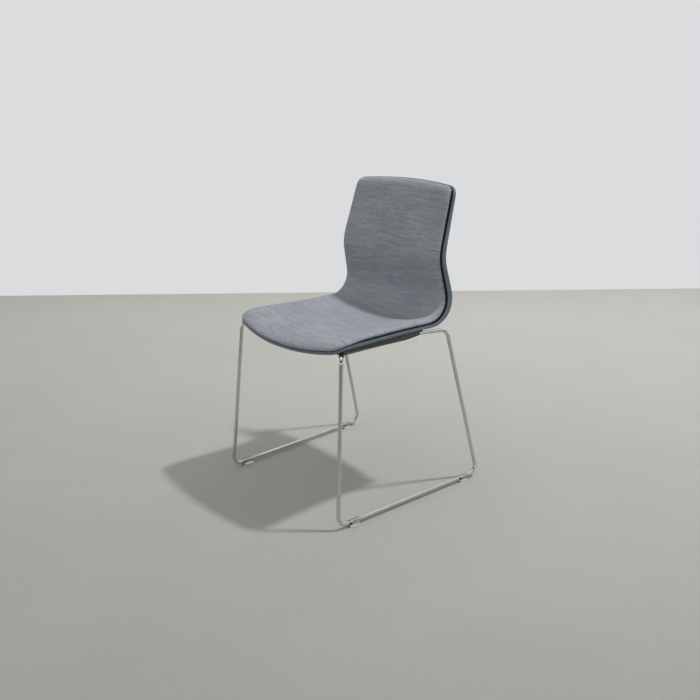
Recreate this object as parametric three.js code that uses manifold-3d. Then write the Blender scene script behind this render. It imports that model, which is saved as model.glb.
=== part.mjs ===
import * as THREE from 'three';
import { mergeVertices } from 'three/addons/utils/BufferGeometryUtils.js';
import Module from 'manifold-3d';

const wasm = await Module();
wasm.setup();

// Millimetres. +X is the sitter's left, the chair faces -Y, +Z is up, the floor is z = 0.

// Fits: clearance between pieces, and how far cuts run past what they cut
const gap = 0.3;
const overrun = 1;

// Sitting face on the centre plane: its knee and hip, the other corners from them, the radii
const kneeY = -191.3;
const kneeZ = 436.9;
const hipY = 199.5;
const hipDrop = 7.5;
const lipReach = 49;
const lipDrop = 13.9;
const lumbarAdvance = 40.5;
const lumbarRise = 182.9;
const topRetreat = 14.6;
const topRise = 365.5;
const kneeRadius = 67.5;
const hipRadius = 79.2;
const lumbarRadius = 87.2;

// Half widths of the face, front to top, and how far its edges rise above its middle
const frontHalfWidth = 211.5;
const seatHalfWidth = 202.8;
const hipHalfWidth = 205.1;
const waistHalfWidth = 199.7;
const lumbarHalfWidth = 194.3;
const topHalfWidth = 184.3;
const frontDish = 9.6;
const kneeDish = 16.5;
const seatDish = 16.6;
const hipDish = 18.7;
const waistDish = 18.2;
const lumbarDish = 17.8;
const topDish = 17.2;
const dishPower = 2.2;
const frontWidthHold = 60;
const frontDishHold = 40;

// Outline of the face: bows of its front and top edge, sizes of its corners
const frontBow = 30.4;
const frontCorner = 33.7;
const topBow = 12;
const topCorner = 27;
const frontBowShare = 0.8;
const frontCornerShare = 1.3;
const topBowShare = 0.85;

// Shell
const shellWall = 3.5;
const lipWidth = 3;
const lipHeight = 1.7;
const lipRound = 0.8;
const seatRim = 7.5;
const backRim = 10.1;
const topRimTaper = 2.8;
const hipRimSwell = 3.2;
const hipRimReach = 90;
const hipRimLag = 50;
const rimChangeLead = 62;
const rimChangeLength = 124;
const flangeWidth = 3.2;
const flangeFoot = 4.4;

// Pad, from the shell face outwards
const tapeThickness = 0.8;
const tapeWidth = 20;
const tapeX = 105;
const tapeRise = 90.6;
const tapeLength = 190;
const linerThickness = 2;
const linerInset = 4.6;
const coverThickness = 1.2;
const padHeight = 14.4;
const padInset = 6;
const padShoulder = 13;
const padBelly = 4.8;
const padLean = 1;
const hemWidth = 14;

// Steel rod frame: half tracks at the floor, tops of the legs from the shell, rake of the legs
const rodRadius = 5;
const frontTrack = 233.3;
const rearTrack = 249.1;
const frontLegSetback = 3.4;
const frontLegAdvance = 11.5;
const frontLegDrop = 1.2;
const frontLegRake = 38.4;
const rearLegOutset = 18.8;
const rearLegAdvance = 65.6;
const rearLegRise = 5;
const rearLegRake = 107.7;
const armMeetX = 127;
const armMeetSetback = 68.8;
const armMeetDrop = 7.4;
const bendRadius = 25;
const armBendRadius = 40;

// Cross plates under the rods
const plateThickness = 3;
const plateWidth = 36;
const plateOverhang = 4;
const plateCorner = 6;
const rearPlateAdvance = 133.9;

// Screws, washers and inserts that hold the shell to the plates
const frontScrewX = 92;
const rearScrewX = 122;
const screwRadius = 2.8;
const screwLength = 12;
const screwHeadRadius = 5.4;
const screwHeadHeight = 3.2;
const screwCrownShare = 0.6;
const screwFlankShare = 0.35;
const screwChamfer = 1;
const screwHex = 2;
const screwHexDepth = 2;
const washerRadius = 7;
const washerThickness = 1.4;
const bossRadius = 8;
const bossFlare = 1;
const insertRadius = 4.2;
const insertBore = 3.1;
const insertLength = 7;
const insertGrooveShares = [0.33, 0.67];

// Tray under the seat: its plan from the frame, the shell and a plate, its rim from the rods
const trayFrontSetback = 12.8;
const trayRearSetback = 53.9;
const trayFrontNarrowing = 13.5;
const trayRearNarrowing = 2.1;
const trayPlateRoom = 17;
const trayCorner = 20;
const traySpine = 20;
const trayWall = 2.5;
const trayRimFrontDrop = 4.7;
const trayRimRearDrop = 10.9;
const trayRimEndDrop = 1.4;
const trayRampLength = 42;
const trayHeadroom = 0.6;
const trayFloorInset = 34;
const trayEdgeRound = 3;
const traySideShares = [0.2, 0.4, 0.6, 0.8];
const slotLength = 70;

// Small screws that hold the tray to the plates
const trayScrewX = 50;
const trayScrewRadius = 1.7;
const trayScrewHeadRadius = 3.7;
const trayScrewSlot = 1;
const trayPostRadius = 5;

// Clips that hold the pad to the seat
const clipInset = 40;
const frontClipSetback = 37;
const rearClipSetback = 60;
const clipHeadRadius = 8;
const clipHeadHeight = 1.2;
const clipShankRadius = 3;
const clipBarbRadius = 4.2;
const clipTipLength = 5;
const clipBarbLand = 1;

// Black sleeves on the top bends of the front legs
const sleeveThickness = 0.9;
const sleeveStartShare = 0.42;

// Glides under the runners
const glideLength = 36;
const glideSetback = 4;
const glideSole = 4.7;
const glideHalfWidth = 6.2;
const glideWall = 1.6;
const glideMouthAngle = 50;

// Mesh fineness
const joinDistance = 1e-4;
const outlineSteps = { front: 5, corner: 4, seat: 5, hip: 6, waist: 2, lumbar: 2, back: 4, top: 4 };
const meshSteps = { sideArc: 24, rodRound: 14, rodBend: 6, glideArc: 6, turned: 14, corner: 5 };
const inwardShares = [1, 0.75, 0.5, 0.25];

const materials = {
  shell: { color: '#64757f', roughness: 0.45, metalness: 0 },
  fabric: { color: '#8a919d', roughness: 0.95, metalness: 0 },
  foam: { color: '#d8d2b9', roughness: 1, metalness: 0 },
  liner: { color: '#17191b', roughness: 0.6, metalness: 0 },
  tape: { color: '#e4e1d6', roughness: 0.8, metalness: 0 },
  chrome: { color: '#d0d0ce', roughness: 0.12, metalness: 1 },
  steel: { color: '#9c9e9f', roughness: 0.4, metalness: 0.9 },
  brass: { color: '#b8924a', roughness: 0.35, metalness: 1 },
  tray: { color: '#4b4b48', roughness: 0.6, metalness: 0 },
  sleeve: { color: '#131415', roughness: 0.7, metalness: 0 },
  clip: { color: '#e6e4dc', roughness: 0.5, metalness: 0 },
  glide: { color: '#dfe3e2', roughness: 0.2, metalness: 0 },
};

const group = new THREE.Group();

function addPart(name, geometry, slot) {
  const mesh = new THREE.Mesh(geometry, new THREE.MeshStandardMaterial(materials[slot]));
  mesh.name = name;
  group.add(mesh);
}

// Meshes and solids

// Shared corners joined, and triangles that closed up to a line dropped.
function welded(geometry) {
  const bare = new THREE.BufferGeometry();
  bare.setAttribute('position', geometry.getAttribute('position'));
  bare.setIndex(geometry.getIndex());
  const merged = mergeVertices(bare, joinDistance);
  const index = [];
  const source = merged.getIndex();
  for (let i = 0; i < source.count; i += 3) {
    const [a, b, c] = [source.getX(i), source.getX(i + 1), source.getX(i + 2)];
    if (a !== b && b !== c && c !== a) index.push(a, b, c);
  }
  merged.setIndex(index);
  merged.computeVertexNormals();
  return merged;
}

function signedVolume(geometry) {
  const position = geometry.getAttribute('position');
  const index = geometry.getIndex();
  const corner = (i) => new THREE.Vector3().fromBufferAttribute(position, index.getX(i));
  let volume = 0;
  for (let i = 0; i < index.count; i += 3) {
    volume += corner(i).dot(corner(i + 1).cross(corner(i + 2)));
  }
  return volume;
}

// A closed surface through rings with equal numbers of points; looped rings meet end to end.
// Its quads are split alike on parallel surfaces, and mirrored on the second half of a ring.
function skin(rings, looped = false) {
  const around = rings[0].length;
  const reach = rings.map((ring) => Math.max(...ring.map(({ x }) => Math.abs(x))));
  const positions = rings.flat().flatMap((point) => point.toArray());
  const index = [];
  const bands = looped ? rings.length : rings.length - 1;
  for (let band = 0; band < bands; band += 1) {
    const next = (band + 1) % rings.length;
    for (let i = 0; i < around; i += 1) {
      const j = (i + 1) % around;
      const [a, b] = [band * around + i, band * around + j];
      const [c, d] = [next * around + j, next * around + i];
      const otherWay = (reach[next] < reach[band]) !== (2 * i >= around);
      index.push(...(otherWay ? [a, b, d, b, c, d] : [a, b, c, a, c, d]));
    }
  }
  const geometry = new THREE.BufferGeometry();
  geometry.setAttribute('position', new THREE.Float32BufferAttribute(positions, 3));
  geometry.setIndex(index);
  const closed = welded(geometry);
  if (signedVolume(closed) < 0) closed.setIndex([...closed.getIndex().array].reverse());
  closed.computeVertexNormals();
  return closed;
}

function solid(geometry) {
  const body = welded(geometry);
  return new wasm.Manifold(new wasm.Mesh({
    numProp: 3,
    vertProperties: new Float32Array(body.getAttribute('position').array),
    triVerts: new Uint32Array(body.getIndex().array),
  }));
}

function meshOf(manifold) {
  const { vertProperties, triVerts } = manifold.getMesh();
  const geometry = new THREE.BufferGeometry();
  geometry.setAttribute('position', new THREE.Float32BufferAttribute(vertProperties, 3));
  geometry.setIndex([...triVerts]);
  return welded(geometry);
}

function combined(base, added, cut) {
  const whole = wasm.Manifold.union([base, ...added].map(solid));
  return meshOf(wasm.Manifold.difference([whole, ...cut.map(solid)]));
}

// A turned piece from (radius, height) pairs, standing on `place` along `axis`.
function turned(profile, place, axis = new THREE.Vector3(0, 0, 1)) {
  const points = profile.map(([radius, height]) => new THREE.Vector2(radius, height));
  const lathe = new THREE.LatheGeometry(points, meshSteps.turned);
  lathe.rotateX(Math.PI / 2);
  const turn = new THREE.Quaternion().setFromUnitVectors(new THREE.Vector3(0, 0, 1), axis);
  lathe.applyQuaternion(turn);
  lathe.translate(place.x, place.y, place.z);
  const body = welded(lathe);
  if (signedVolume(body) < 0) body.setIndex([...body.getIndex().array].reverse());
  return body;
}

function pin(radius, from, to, place, axis) {
  return turned([[0, from], [radius, from], [radius, to], [0, to]], place, axis);
}

function tubeProfile(inner, outer, from, to) {
  return [[inner, from], [outer, from], [outer, to], [inner, to], [inner, from]];
}

// Paths

// Stations along a path through corners that are each rounded to their radius.
function bentPath(corners, radii, steps, closed = false) {
  const count = corners.length;
  return corners.flatMap((corner, i) => {
    const back = corners[(i + count - 1) % count].clone().sub(corner).normalize();
    const ahead = corners[(i + 1) % count].clone().sub(corner).normalize();
    if (!closed && i === 0) return [{ point: corner.clone(), tangent: ahead }];
    if (!closed && i === count - 1) return [{ point: corner.clone(), tangent: back.negate() }];
    const half = back.angleTo(ahead) / 2;
    const radius = radii[i];
    const start = corner.clone().addScaledVector(back, radius / Math.tan(half));
    const inward = back.clone().add(ahead).normalize();
    const centre = corner.clone().addScaledVector(inward, radius / Math.sin(half));
    const spoke = start.sub(centre).divideScalar(radius);
    const travel = back.clone().negate();
    return Array.from({ length: steps + 1 }, (_, k) => {
      const turn = ((Math.PI - 2 * half) * k) / steps;
      const [cos, sin] = [Math.cos(turn), Math.sin(turn)];
      const point = centre.clone().addScaledVector(spoke, radius * cos);
      point.addScaledVector(travel, radius * sin);
      const tangent = travel.clone().multiplyScalar(cos).addScaledVector(spoke, -sin);
      return { point, tangent };
    });
  });
}

// A round section at each station; the loops lie across X, so X gives the section's first arm.
function roundSections(stations, radius, sides = meshSteps.rodRound) {
  return stations.map(({ point, tangent }) => {
    const across = new THREE.Vector3(1, 0, 0);
    across.addScaledVector(tangent, -across.dot(tangent)).normalize();
    const other = tangent.clone().cross(across);
    return Array.from({ length: sides }, (_, k) => {
      const angle = (2 * Math.PI * k) / sides;
      return point.clone().addScaledVector(across, radius * Math.cos(angle))
        .addScaledVector(other, radius * Math.sin(angle));
    });
  });
}

// Sitting face

const [lipY, lipZ] = [kneeY - lipReach, kneeZ - lipDrop];
const hipZ = kneeZ - hipDrop;
const [lumbarY, lumbarZ] = [hipY - lumbarAdvance, hipZ + lumbarRise];
const [topY, topZ] = [hipY + topRetreat, hipZ + topRise];
const sideCorners = [
  [lipY, lipZ], [kneeY, kneeZ], [hipY, hipZ], [lumbarY, lumbarZ], [topY, topZ],
].map(([y, z]) => new THREE.Vector3(0, y, z));
const sideRadii = [0, kneeRadius, hipRadius, lumbarRadius, 0];
const sideView = bentPath(sideCorners, sideRadii, meshSteps.sideArc);
sideView.forEach((station, i) => {
  const before = sideView[i - 1];
  station.s = before ? before.s + station.point.distanceTo(before.point) : 0;
});
const faceLength = sideView.at(-1).s;
const arcStart = (corner) => sideView[1 + (corner - 1) * (meshSteps.sideArc + 1)].s;
const arcEnd = (corner) => sideView[corner * (meshSteps.sideArc + 1)].s;
const arcMiddle = (corner) => (arcStart(corner) + arcEnd(corner)) / 2;
const [kneeS, hipS, lumbarS] = [1, 2, 3].map(arcMiddle);

function sideViewAt(s) {
  const last = sideView.length - 1;
  const next = Math.max(1, sideView.findIndex((station, i) => station.s >= s || i === last));
  const [a, b] = [sideView[next - 1], sideView[next]];
  const share = (s - a.s) / (b.s - a.s);
  const tangent = a.tangent.clone().lerp(b.tangent, THREE.MathUtils.clamp(share, 0, 1)).normalize();
  const normal = new THREE.Vector3(0, -tangent.z, tangent.y);
  return { point: a.point.clone().lerp(b.point, share), normal };
}

function curveOf(stations, values) {
  const curve = new THREE.CubicInterpolant(stations, values, 1);
  return (s) => curve.evaluate(THREE.MathUtils.clamp(s, 0, faceLength))[0];
}

const halfWidth = curveOf(
  [0, kneeS + frontWidthHold, (kneeS + hipS) / 2, hipS, (hipS + lumbarS) / 2, lumbarS, faceLength],
  [frontHalfWidth, frontHalfWidth, seatHalfWidth, hipHalfWidth, waistHalfWidth, lumbarHalfWidth,
    topHalfWidth],
);
const dish = curveOf(
  [0, kneeS + frontDishHold, (kneeS + hipS) / 2, hipS, (hipS + lumbarS) / 2, lumbarS, faceLength],
  [frontDish, kneeDish, seatDish, hipDish, waistDish, lumbarDish, topDish],
);

// The point across x and along s of the face, moved by `offset` towards the sitter.
function facePoint(x, s, offset) {
  const { point, normal } = sideViewAt(s);
  const share = Math.abs(x) / halfWidth(s);
  const slope = (dish(s) * dishPower * share ** (dishPower - 1) * Math.sign(x)) / halfWidth(s);
  const tilt = 1 / Math.hypot(1, slope);
  point.addScaledVector(normal, dish(s) * share ** dishPower + offset * tilt);
  point.x = x - offset * slope * tilt;
  return point;
}

function faceNormal(x, s) {
  return facePoint(x, s, 1).sub(facePoint(x, s, 0)).normalize();
}

const spread = (from, to, steps) => (
  Array.from({ length: steps }, (_, k) => from + ((to - from) * k) / steps)
);
const curved = (from, pull, to, steps) => (
  new THREE.QuadraticBezierCurve(...[from, pull, to].map(([x, s]) => new THREE.Vector2(x, s)))
    .getPoints(steps).slice(0, -1)
);

// Outline of the face in (x, s), its +X half from front to top and the mirrored half back.
function faceOutline() {
  const frontInner = frontHalfWidth - frontCorner;
  const topInner = topHalfWidth - topCorner;
  const sideStart = frontBow + frontCornerShare * frontCorner;
  const sideEnd = faceLength - topBow - topCorner;
  const frontTurn = [frontInner, frontBowShare * frontBow];
  const topTurn = [topInner, faceLength - topBowShare * topBow];
  const sideStations = [
    ...spread(sideStart, arcStart(2), outlineSteps.seat),
    ...spread(arcStart(2), arcEnd(2), outlineSteps.hip),
    ...spread(arcEnd(2), arcStart(3), outlineSteps.waist),
    ...spread(arcStart(3), arcEnd(3), outlineSteps.lumbar),
    ...spread(arcEnd(3), sideEnd, outlineSteps.back),
  ];
  const [frontSide, topSide] = [sideStart, sideEnd].map((s) => [halfWidth(s), s]);
  const half = [
    ...curved([0, 0], [frontInner / 2, 0], frontTurn, outlineSteps.front),
    ...curved(frontTurn, [frontHalfWidth, frontBow], frontSide, outlineSteps.corner),
    ...sideStations.map((s) => new THREE.Vector2(halfWidth(s), s)),
    ...curved(topSide, [topHalfWidth, faceLength - topBow], topTurn, outlineSteps.corner),
    ...curved(topTurn, [topInner / 2, faceLength], [0, faceLength], outlineSteps.top),
    new THREE.Vector2(0, faceLength),
  ];
  const mirrored = half.slice(1, -1).reverse().map(({ x, y }) => new THREE.Vector2(-x, y));
  return [...half, ...mirrored];
}

// An outline with each point moved towards its place on a spine on x = 0: first until it lies
// `inset` inside the outline, then by `share` of what is left.
function drawnIn(outline, inset, share, spineFrom, spineTo) {
  const count = outline.length;
  return outline.map((point, i) => {
    const before = outline[(i + count - 1) % count];
    const after = outline[(i + 1) % count];
    const along = after.clone().sub(before).normalize();
    const spine = new THREE.Vector2(0, THREE.MathUtils.clamp(point.y, spineFrom, spineTo));
    const inwards = spine.clone().sub(point).normalize();
    const reach = inset / inwards.dot(new THREE.Vector2(-along.y, along.x));
    return point.clone().addScaledVector(inwards, reach).lerp(spine, share);
  });
}

const outline = faceOutline();

function faceRing(inset, offset, share = 0) {
  const height = typeof offset === 'function' ? offset : () => offset;
  return drawnIn(outline, inset, share, frontHalfWidth / 2, faceLength - topHalfWidth / 2)
    .map(({ x, y: s }) => facePoint(x, s, height(s)));
}

const middleRings = (inset, offset) => inwardShares.map((share) => faceRing(inset, offset, share));

// A sheet between two offsets from the face; its rings below the hem keep the layers parallel.
function faceSlab(inset, low, high) {
  return skin([
    ...middleRings(hemInset, high), faceRing(hemInset, high), faceRing(hemStart, high),
    faceRing(inset, high), faceRing(inset, low), faceRing(hemInset, low),
    ...middleRings(hemInset, low).reverse(),
  ]);
}

// Heights of the layers above the face
const shellFace = -lipHeight;
const shellUnder = shellFace - shellWall;
const tapeLow = shellFace + gap;
const linerLow = tapeLow + tapeThickness + gap;
const linerHigh = linerLow + linerThickness;
const hemLow = linerHigh + gap;
const hemHigh = hemLow + coverThickness;
const foamLow = hemHigh + gap;
const coverUnder = padHeight - coverThickness;
const hemStart = padInset + coverThickness;
const hemInset = padInset + hemWidth;
const foamHigh = coverUnder - gap;

function rimDepth(s) {
  const start = hipS - rimChangeLead;
  const back = THREE.MathUtils.smoothstep(s, start, start + rimChangeLength);
  const hip = hipRimSwell * Math.exp(-(((s - hipS - hipRimLag) / hipRimReach) ** 2));
  const taper = topRimTaper * THREE.MathUtils.smoothstep(s, lumbarS, faceLength);
  return seatRim + (backRim - seatRim) * back + hip - taper;
}

// Frame

// One side as it is bent: runner, front leg, arm under the seat in two lengths, rear leg.
const rodAxisZ = glideSole + gap + rodRadius;
const frontTopX = frontHalfWidth - frontLegSetback;
const frontTopY = kneeY - frontLegAdvance;
const frontTopZ = kneeZ - frontLegDrop;
const rearTopX = hipHalfWidth + rearLegOutset;
const rearTopY = hipY - rearLegAdvance;
const rearTopZ = hipZ + rearLegRise;
const armMeetY = frontTopY + armMeetSetback;
const armMeetZ = kneeZ - armMeetDrop;
const loopCorners = (side) => [
  [frontTrack, frontTopY - frontLegRake, rodAxisZ], [frontTopX, frontTopY, frontTopZ],
  [armMeetX, armMeetY, armMeetZ], [rearTopX, rearTopY, rearTopZ],
  [rearTrack, rearTopY + rearLegRake, rodAxisZ],
].map(([x, y, z]) => new THREE.Vector3(side * x, y, z));
const loopRadii = [bendRadius, bendRadius, armBendRadius, bendRadius, bendRadius];
const loopStations = (side) => bentPath(loopCorners(side), loopRadii, meshSteps.rodBend, true);

function rodLoop(side, radius) {
  return skin(roundSections(loopStations(side), radius), true);
}

function pointAtY(from, to, y) {
  return from.clone().lerp(to, (y - from.y) / (to.y - from.y));
}

// Where the arms of the +X side run above each cross plate.
const [, frontTop, armMeet, rearTop] = loopCorners(1);
const rearArmAt = (y) => pointAtY(armMeet, rearTop, y);
const rearPlateY = rearTopY - rearPlateAdvance;
const plates = [
  { name: 'front', y: armMeetY, armX: armMeetX, armZ: armMeetZ, screwX: frontScrewX },
  { name: 'rear', y: rearPlateY, armX: rearArmAt(rearPlateY).x,
    armZ: rearArmAt(rearPlateY - plateWidth / 2).z, screwX: rearScrewX },
].map((plate) => ({
  ...plate,
  top: plate.armZ - rodRadius - gap,
  halfLength: plate.armX + rodRadius + plateOverhang,
}));

function crossPlate({ y, top, halfLength, screwX }) {
  const corners = [[-1, -1], [1, -1], [1, 1], [-1, 1]].map(([i, j]) => (
    new THREE.Vector3(i * halfLength, (j * plateWidth) / 2, 0)
  ));
  const edge = bentPath(corners, corners.map(() => plateCorner), meshSteps.corner, true);
  const shape = new THREE.Shape(edge.map(({ point }) => new THREE.Vector2(point.x, point.y)));
  const blank = new THREE.ExtrudeGeometry(shape, { depth: plateThickness, bevelEnabled: false });
  blank.translate(0, y, top - plateThickness);
  const holes = [-1, 1].flatMap((side) => [
    [side * screwX, screwRadius + gap], [side * trayScrewX, trayScrewRadius + gap],
  ]).map(([x, radius]) => (
    pin(radius, -plateThickness, plateThickness, new THREE.Vector3(x, y, top - plateThickness / 2))
  ));
  return combined(blank, [], holes);
}

// Screws

const screwPlaces = plates.flatMap((plate) => [1, -1].map((side) => ({
  name: `${plate.name}_${side > 0 ? 'left' : 'right'}`,
  place: new THREE.Vector3(side * plate.screwX, plate.y, plate.top - plateThickness),
  boss: plate.top + gap,
})));

function shellScrew(place) {
  const seat = -washerThickness - 2 * gap;
  const crown = seat - screwHeadHeight;
  const body = turned([
    [0, crown], [screwHeadRadius * screwCrownShare, crown],
    [screwHeadRadius, seat - screwHeadHeight * screwFlankShare],
    [screwHeadRadius, seat], [screwRadius, seat],
    [screwRadius, seat + screwLength - screwChamfer],
    [screwRadius - screwChamfer, seat + screwLength], [0, seat + screwLength],
  ], place);
  const key = new THREE.CylinderGeometry(screwHex, screwHex, 2 * screwHexDepth, 6);
  key.rotateX(Math.PI / 2);
  key.translate(place.x, place.y, place.z + crown);
  return combined(body, [], [key]);
}

const shellWasher = (place) => turned(
  tubeProfile(screwRadius + gap, washerRadius, -gap - washerThickness, -gap), place,
);

// Brass insert in the boss above the plate, with a groove round its middle.
function insert({ place, boss }) {
  const neck = insertRadius - gap;
  const [low, high] = insertGrooveShares.map((share) => share * insertLength);
  return turned([
    [insertBore, 0], [insertRadius, 0], [insertRadius, low], [neck, low], [neck, high],
    [insertRadius, high], [insertRadius, insertLength], [insertBore, insertLength],
    [insertBore, 0],
  ], new THREE.Vector3(place.x, place.y, boss));
}

const seatStationAt = (y) => {
  let [low, high] = [0, hipS];
  while (high - low > gap / 10) {
    const middle = (low + high) / 2;
    if (sideViewAt(middle).point.y < y) low = middle; else high = middle;
  }
  return low;
};

// Shell

// The pad's clips stand behind the plates, inside the arms.
const clipPlaces = [frontClipSetback, rearClipSetback].flatMap((setback, i) => {
  const y = plates[i].y + setback;
  const [x, s] = [rearArmAt(y).x - clipInset, seatStationAt(y)];
  return [[1, 'left'], [-1, 'right']].map(([side, sideName]) => ({
    name: `${plates[i].name}_${sideName}`,
    place: facePoint(side * x, s, linerHigh + gap),
    axis: faceNormal(side * x, s),
  }));
});

const rimFoot = (s) => -rimDepth(s);

function shellBlank() {
  return skin([
    ...middleRings(lipWidth + lipRound, shellFace), faceRing(lipWidth + lipRound, shellFace),
    faceRing(lipWidth, -lipRound), faceRing(lipWidth - lipRound, 0), faceRing(lipRound, 0),
    faceRing(0, -lipRound), faceRing(0, (s) => rimFoot(s) + lipRound),
    faceRing(lipRound, rimFoot), faceRing(flangeWidth, rimFoot),
    faceRing(flangeFoot, shellUnder), ...middleRings(flangeFoot, shellUnder).reverse(),
  ]);
}

function shell() {
  const bosses = screwPlaces.map(({ place, boss }) => {
    const s = seatStationAt(place.y);
    const under = facePoint(place.x, s, shellUnder + shellWall / 2).z;
    return turned([
      [0, boss], [bossRadius, boss], [bossRadius + bossFlare, under], [0, under],
    ], new THREE.Vector3(place.x, place.y, 0));
  });
  const sockets = screwPlaces.map(({ place, boss }) => pin(
    insertRadius + gap, boss - overrun, boss + insertLength + gap,
    new THREE.Vector3(place.x, place.y, 0),
  ));
  const clipHoles = clipPlaces.map(({ place, axis }) => pin(
    clipShankRadius + gap, -2 * padHeight, padHeight, place, axis,
  ));
  return combined(shellBlank(), bosses, [...sockets, ...clipHoles]);
}

// Pad

// A layer of the face, kept where a block as wide and long as the tape crosses it.
function tape(side) {
  const strip = new THREE.BoxGeometry(tapeWidth, 2 * (topY - lumbarY), tapeLength);
  strip.translate(side * tapeX, lumbarY, hipZ + tapeRise + tapeLength / 2);
  const layer = faceSlab(linerInset, tapeLow, tapeLow + tapeThickness);
  return meshOf(wasm.Manifold.intersection([solid(layer), solid(strip)]));
}

function liner() {
  const holes = clipPlaces.map(({ place, axis }) => pin(
    clipShankRadius + gap, -padHeight / 2, padHeight / 2, place, axis,
  ));
  return combined(faceSlab(linerInset, linerLow, linerHigh), [], holes);
}

function foam() {
  const side = hemStart + gap;
  const shoulder = padShoulder + side - padInset;
  const blank = skin([
    ...middleRings(hemInset, foamHigh), faceRing(shoulder, foamHigh),
    faceRing(side + padLean, (foamHigh + padBelly) / 2), faceRing(side, padBelly),
    faceRing(side + padLean, foamLow), faceRing(hemInset, foamLow),
    ...middleRings(hemInset, foamLow).reverse(),
  ]);
  const pockets = clipPlaces.map(({ place, axis }) => pin(
    clipHeadRadius + 2 * gap, -overrun, clipHeadHeight + 3 * gap, place, axis,
  ));
  return combined(blank, [], pockets);
}

// One sheet that goes over the foam and turns in under its edge as a hem.
function cover() {
  const bellyOffset = (foamHigh + padBelly) / 2;
  return skin([
    ...middleRings(hemInset, padHeight), faceRing(padShoulder, padHeight),
    faceRing(padInset + padLean, bellyOffset + coverThickness), faceRing(padInset, padBelly),
    faceRing(hemStart, hemLow), faceRing(hemInset, hemLow), faceRing(hemInset, hemHigh),
    faceRing(hemStart + gap, hemHigh), faceRing(hemStart, padBelly),
    faceRing(hemStart + padLean, bellyOffset),
    faceRing(padShoulder + coverThickness, coverUnder),
    ...middleRings(hemInset, coverUnder).reverse(),
  ]);
}

function clip({ place, axis }) {
  const head = gap + clipHeadHeight;
  const grip = shellUnder - linerHigh - 3 * gap;
  return turned([
    [0, grip - clipTipLength], [clipShankRadius / 2, grip - clipTipLength],
    [clipBarbRadius, grip - clipBarbLand], [clipBarbRadius, grip], [clipShankRadius, grip],
    [clipShankRadius, gap], [clipHeadRadius, gap], [clipHeadRadius, head], [0, head],
  ], place, axis);
}

// Tray

const trayFrontY = frontTopY + trayFrontSetback;
const trayRearY = rearTopY - trayRearSetback;
const trayFrontX = frontHalfWidth - trayFrontNarrowing;
const trayRearX = hipHalfWidth - trayRearNarrowing;
const trayTopZ = kneeZ + padHeight;
const trayRampY = trayRearY - trayRampLength;
const trayRimFrontZ = frontTopZ - trayRimFrontDrop;
const trayRimRearZ = rearTopZ - trayRimRearDrop;
const trayRimEndZ = rearTopZ - trayRimEndDrop;
const headBottom = Math.min(...plates.map(({ top }) => top))
  - plateThickness - washerThickness - 2 * gap - screwHeadHeight;
const trayFloorZ = headBottom - trayHeadroom - trayWall;

function trayRimZ(y) {
  const along = THREE.MathUtils.mapLinear(y, trayFrontY, trayRampY, trayRimFrontZ, trayRimRearZ);
  const ramp = THREE.MathUtils.mapLinear(y, trayRampY, trayRearY, trayRimRearZ, trayRimEndZ);
  return y < trayRampY ? along : ramp;
}

// The sides run from the front corners past the ends of the rear plate to the rear corners.
function traySideX(y) {
  const plateSide = plates[1].halfLength + trayPlateRoom;
  return y < rearPlateY
    ? THREE.MathUtils.mapLinear(y, trayFrontY, rearPlateY, trayFrontX, plateSide)
    : THREE.MathUtils.mapLinear(y, rearPlateY, trayRearY, plateSide, trayRearX);
}

const trayOutline = (() => {
  const plan = [
    [-trayFrontX, trayFrontY], [trayFrontX, trayFrontY],
    [trayRearX, trayRearY], [-trayRearX, trayRearY],
  ].map(([x, y]) => new THREE.Vector3(x, y, 0));
  const edge = bentPath(plan, plan.map(() => trayCorner), meshSteps.corner, true);
  const sidePoint = (side) => traySideShares.map((share) => {
    const y = THREE.MathUtils.lerp(trayFrontY + trayCorner, trayRearY - trayCorner, share);
    return new THREE.Vector2(side * traySideX(y), y);
  });
  const flat = edge.map(({ point }) => new THREE.Vector2(point.x, point.y));
  const quarter = flat.length / 4;
  const cuts = [0, 1, 2, 3].map((k) => flat.slice(k * quarter, (k + 1) * quarter));
  return [
    ...cuts[0], ...cuts[1], ...sidePoint(1), ...cuts[2], ...cuts[3], ...sidePoint(-1).reverse(),
  ];
})();

function trayRing(inset, height, share = 0) {
  const middle = (trayFrontY + trayRearY) / 2;
  return drawnIn(trayOutline, inset, share, middle - traySpine, middle + traySpine)
    .map(({ x, y }) => new THREE.Vector3(x, y, height(y)));
}

function trayBlank() {
  const side = (inset, rise) => [
    trayRing(inset, () => trayTopZ), trayRing(inset, (y) => trayRimZ(y) + rise + trayEdgeRound),
    trayRing(inset + trayEdgeRound, (y) => trayRimZ(y) + rise),
    trayRing(trayFloorInset, () => trayFloorZ + rise),
    trayRing(trayFloorInset, () => trayFloorZ + rise, 1),
  ];
  return skin([...side(0, 0).reverse(), ...side(trayWall, trayWall)]);
}

// Openings for the rods, open upwards so that the tray goes on from below.
function rodSlots(side) {
  const [, top, meet, rear] = loopCorners(side);
  const crossings = [
    { from: meet, to: top, at: pointAtY(meet, top, trayFrontY) },
    { from: meet, to: rear, at: pointAtY(meet, rear, trayRearY - trayCorner) },
  ];
  return crossings.map(({ from, to, at }) => {
    const height = trayTopZ - at.z;
    const slot = new THREE.BoxGeometry(2 * rodRadius + 4 * gap, slotLength, height);
    slot.rotateZ(Math.atan2(from.x - to.x, to.y - from.y));
    slot.translate(at.x, at.y, at.z + height / 2);
    return slot;
  });
}

const trayScrewPlaces = plates.flatMap(({ name, y, top }) => [1, -1].map((side) => ({
  name: `${name}_${side > 0 ? 'left' : 'right'}`,
  place: new THREE.Vector3(side * trayScrewX, y, trayFloorZ),
  post: top - plateThickness - gap - trayFloorZ,
})));

const sinkDepth = trayScrewHeadRadius - trayScrewRadius;

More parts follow.
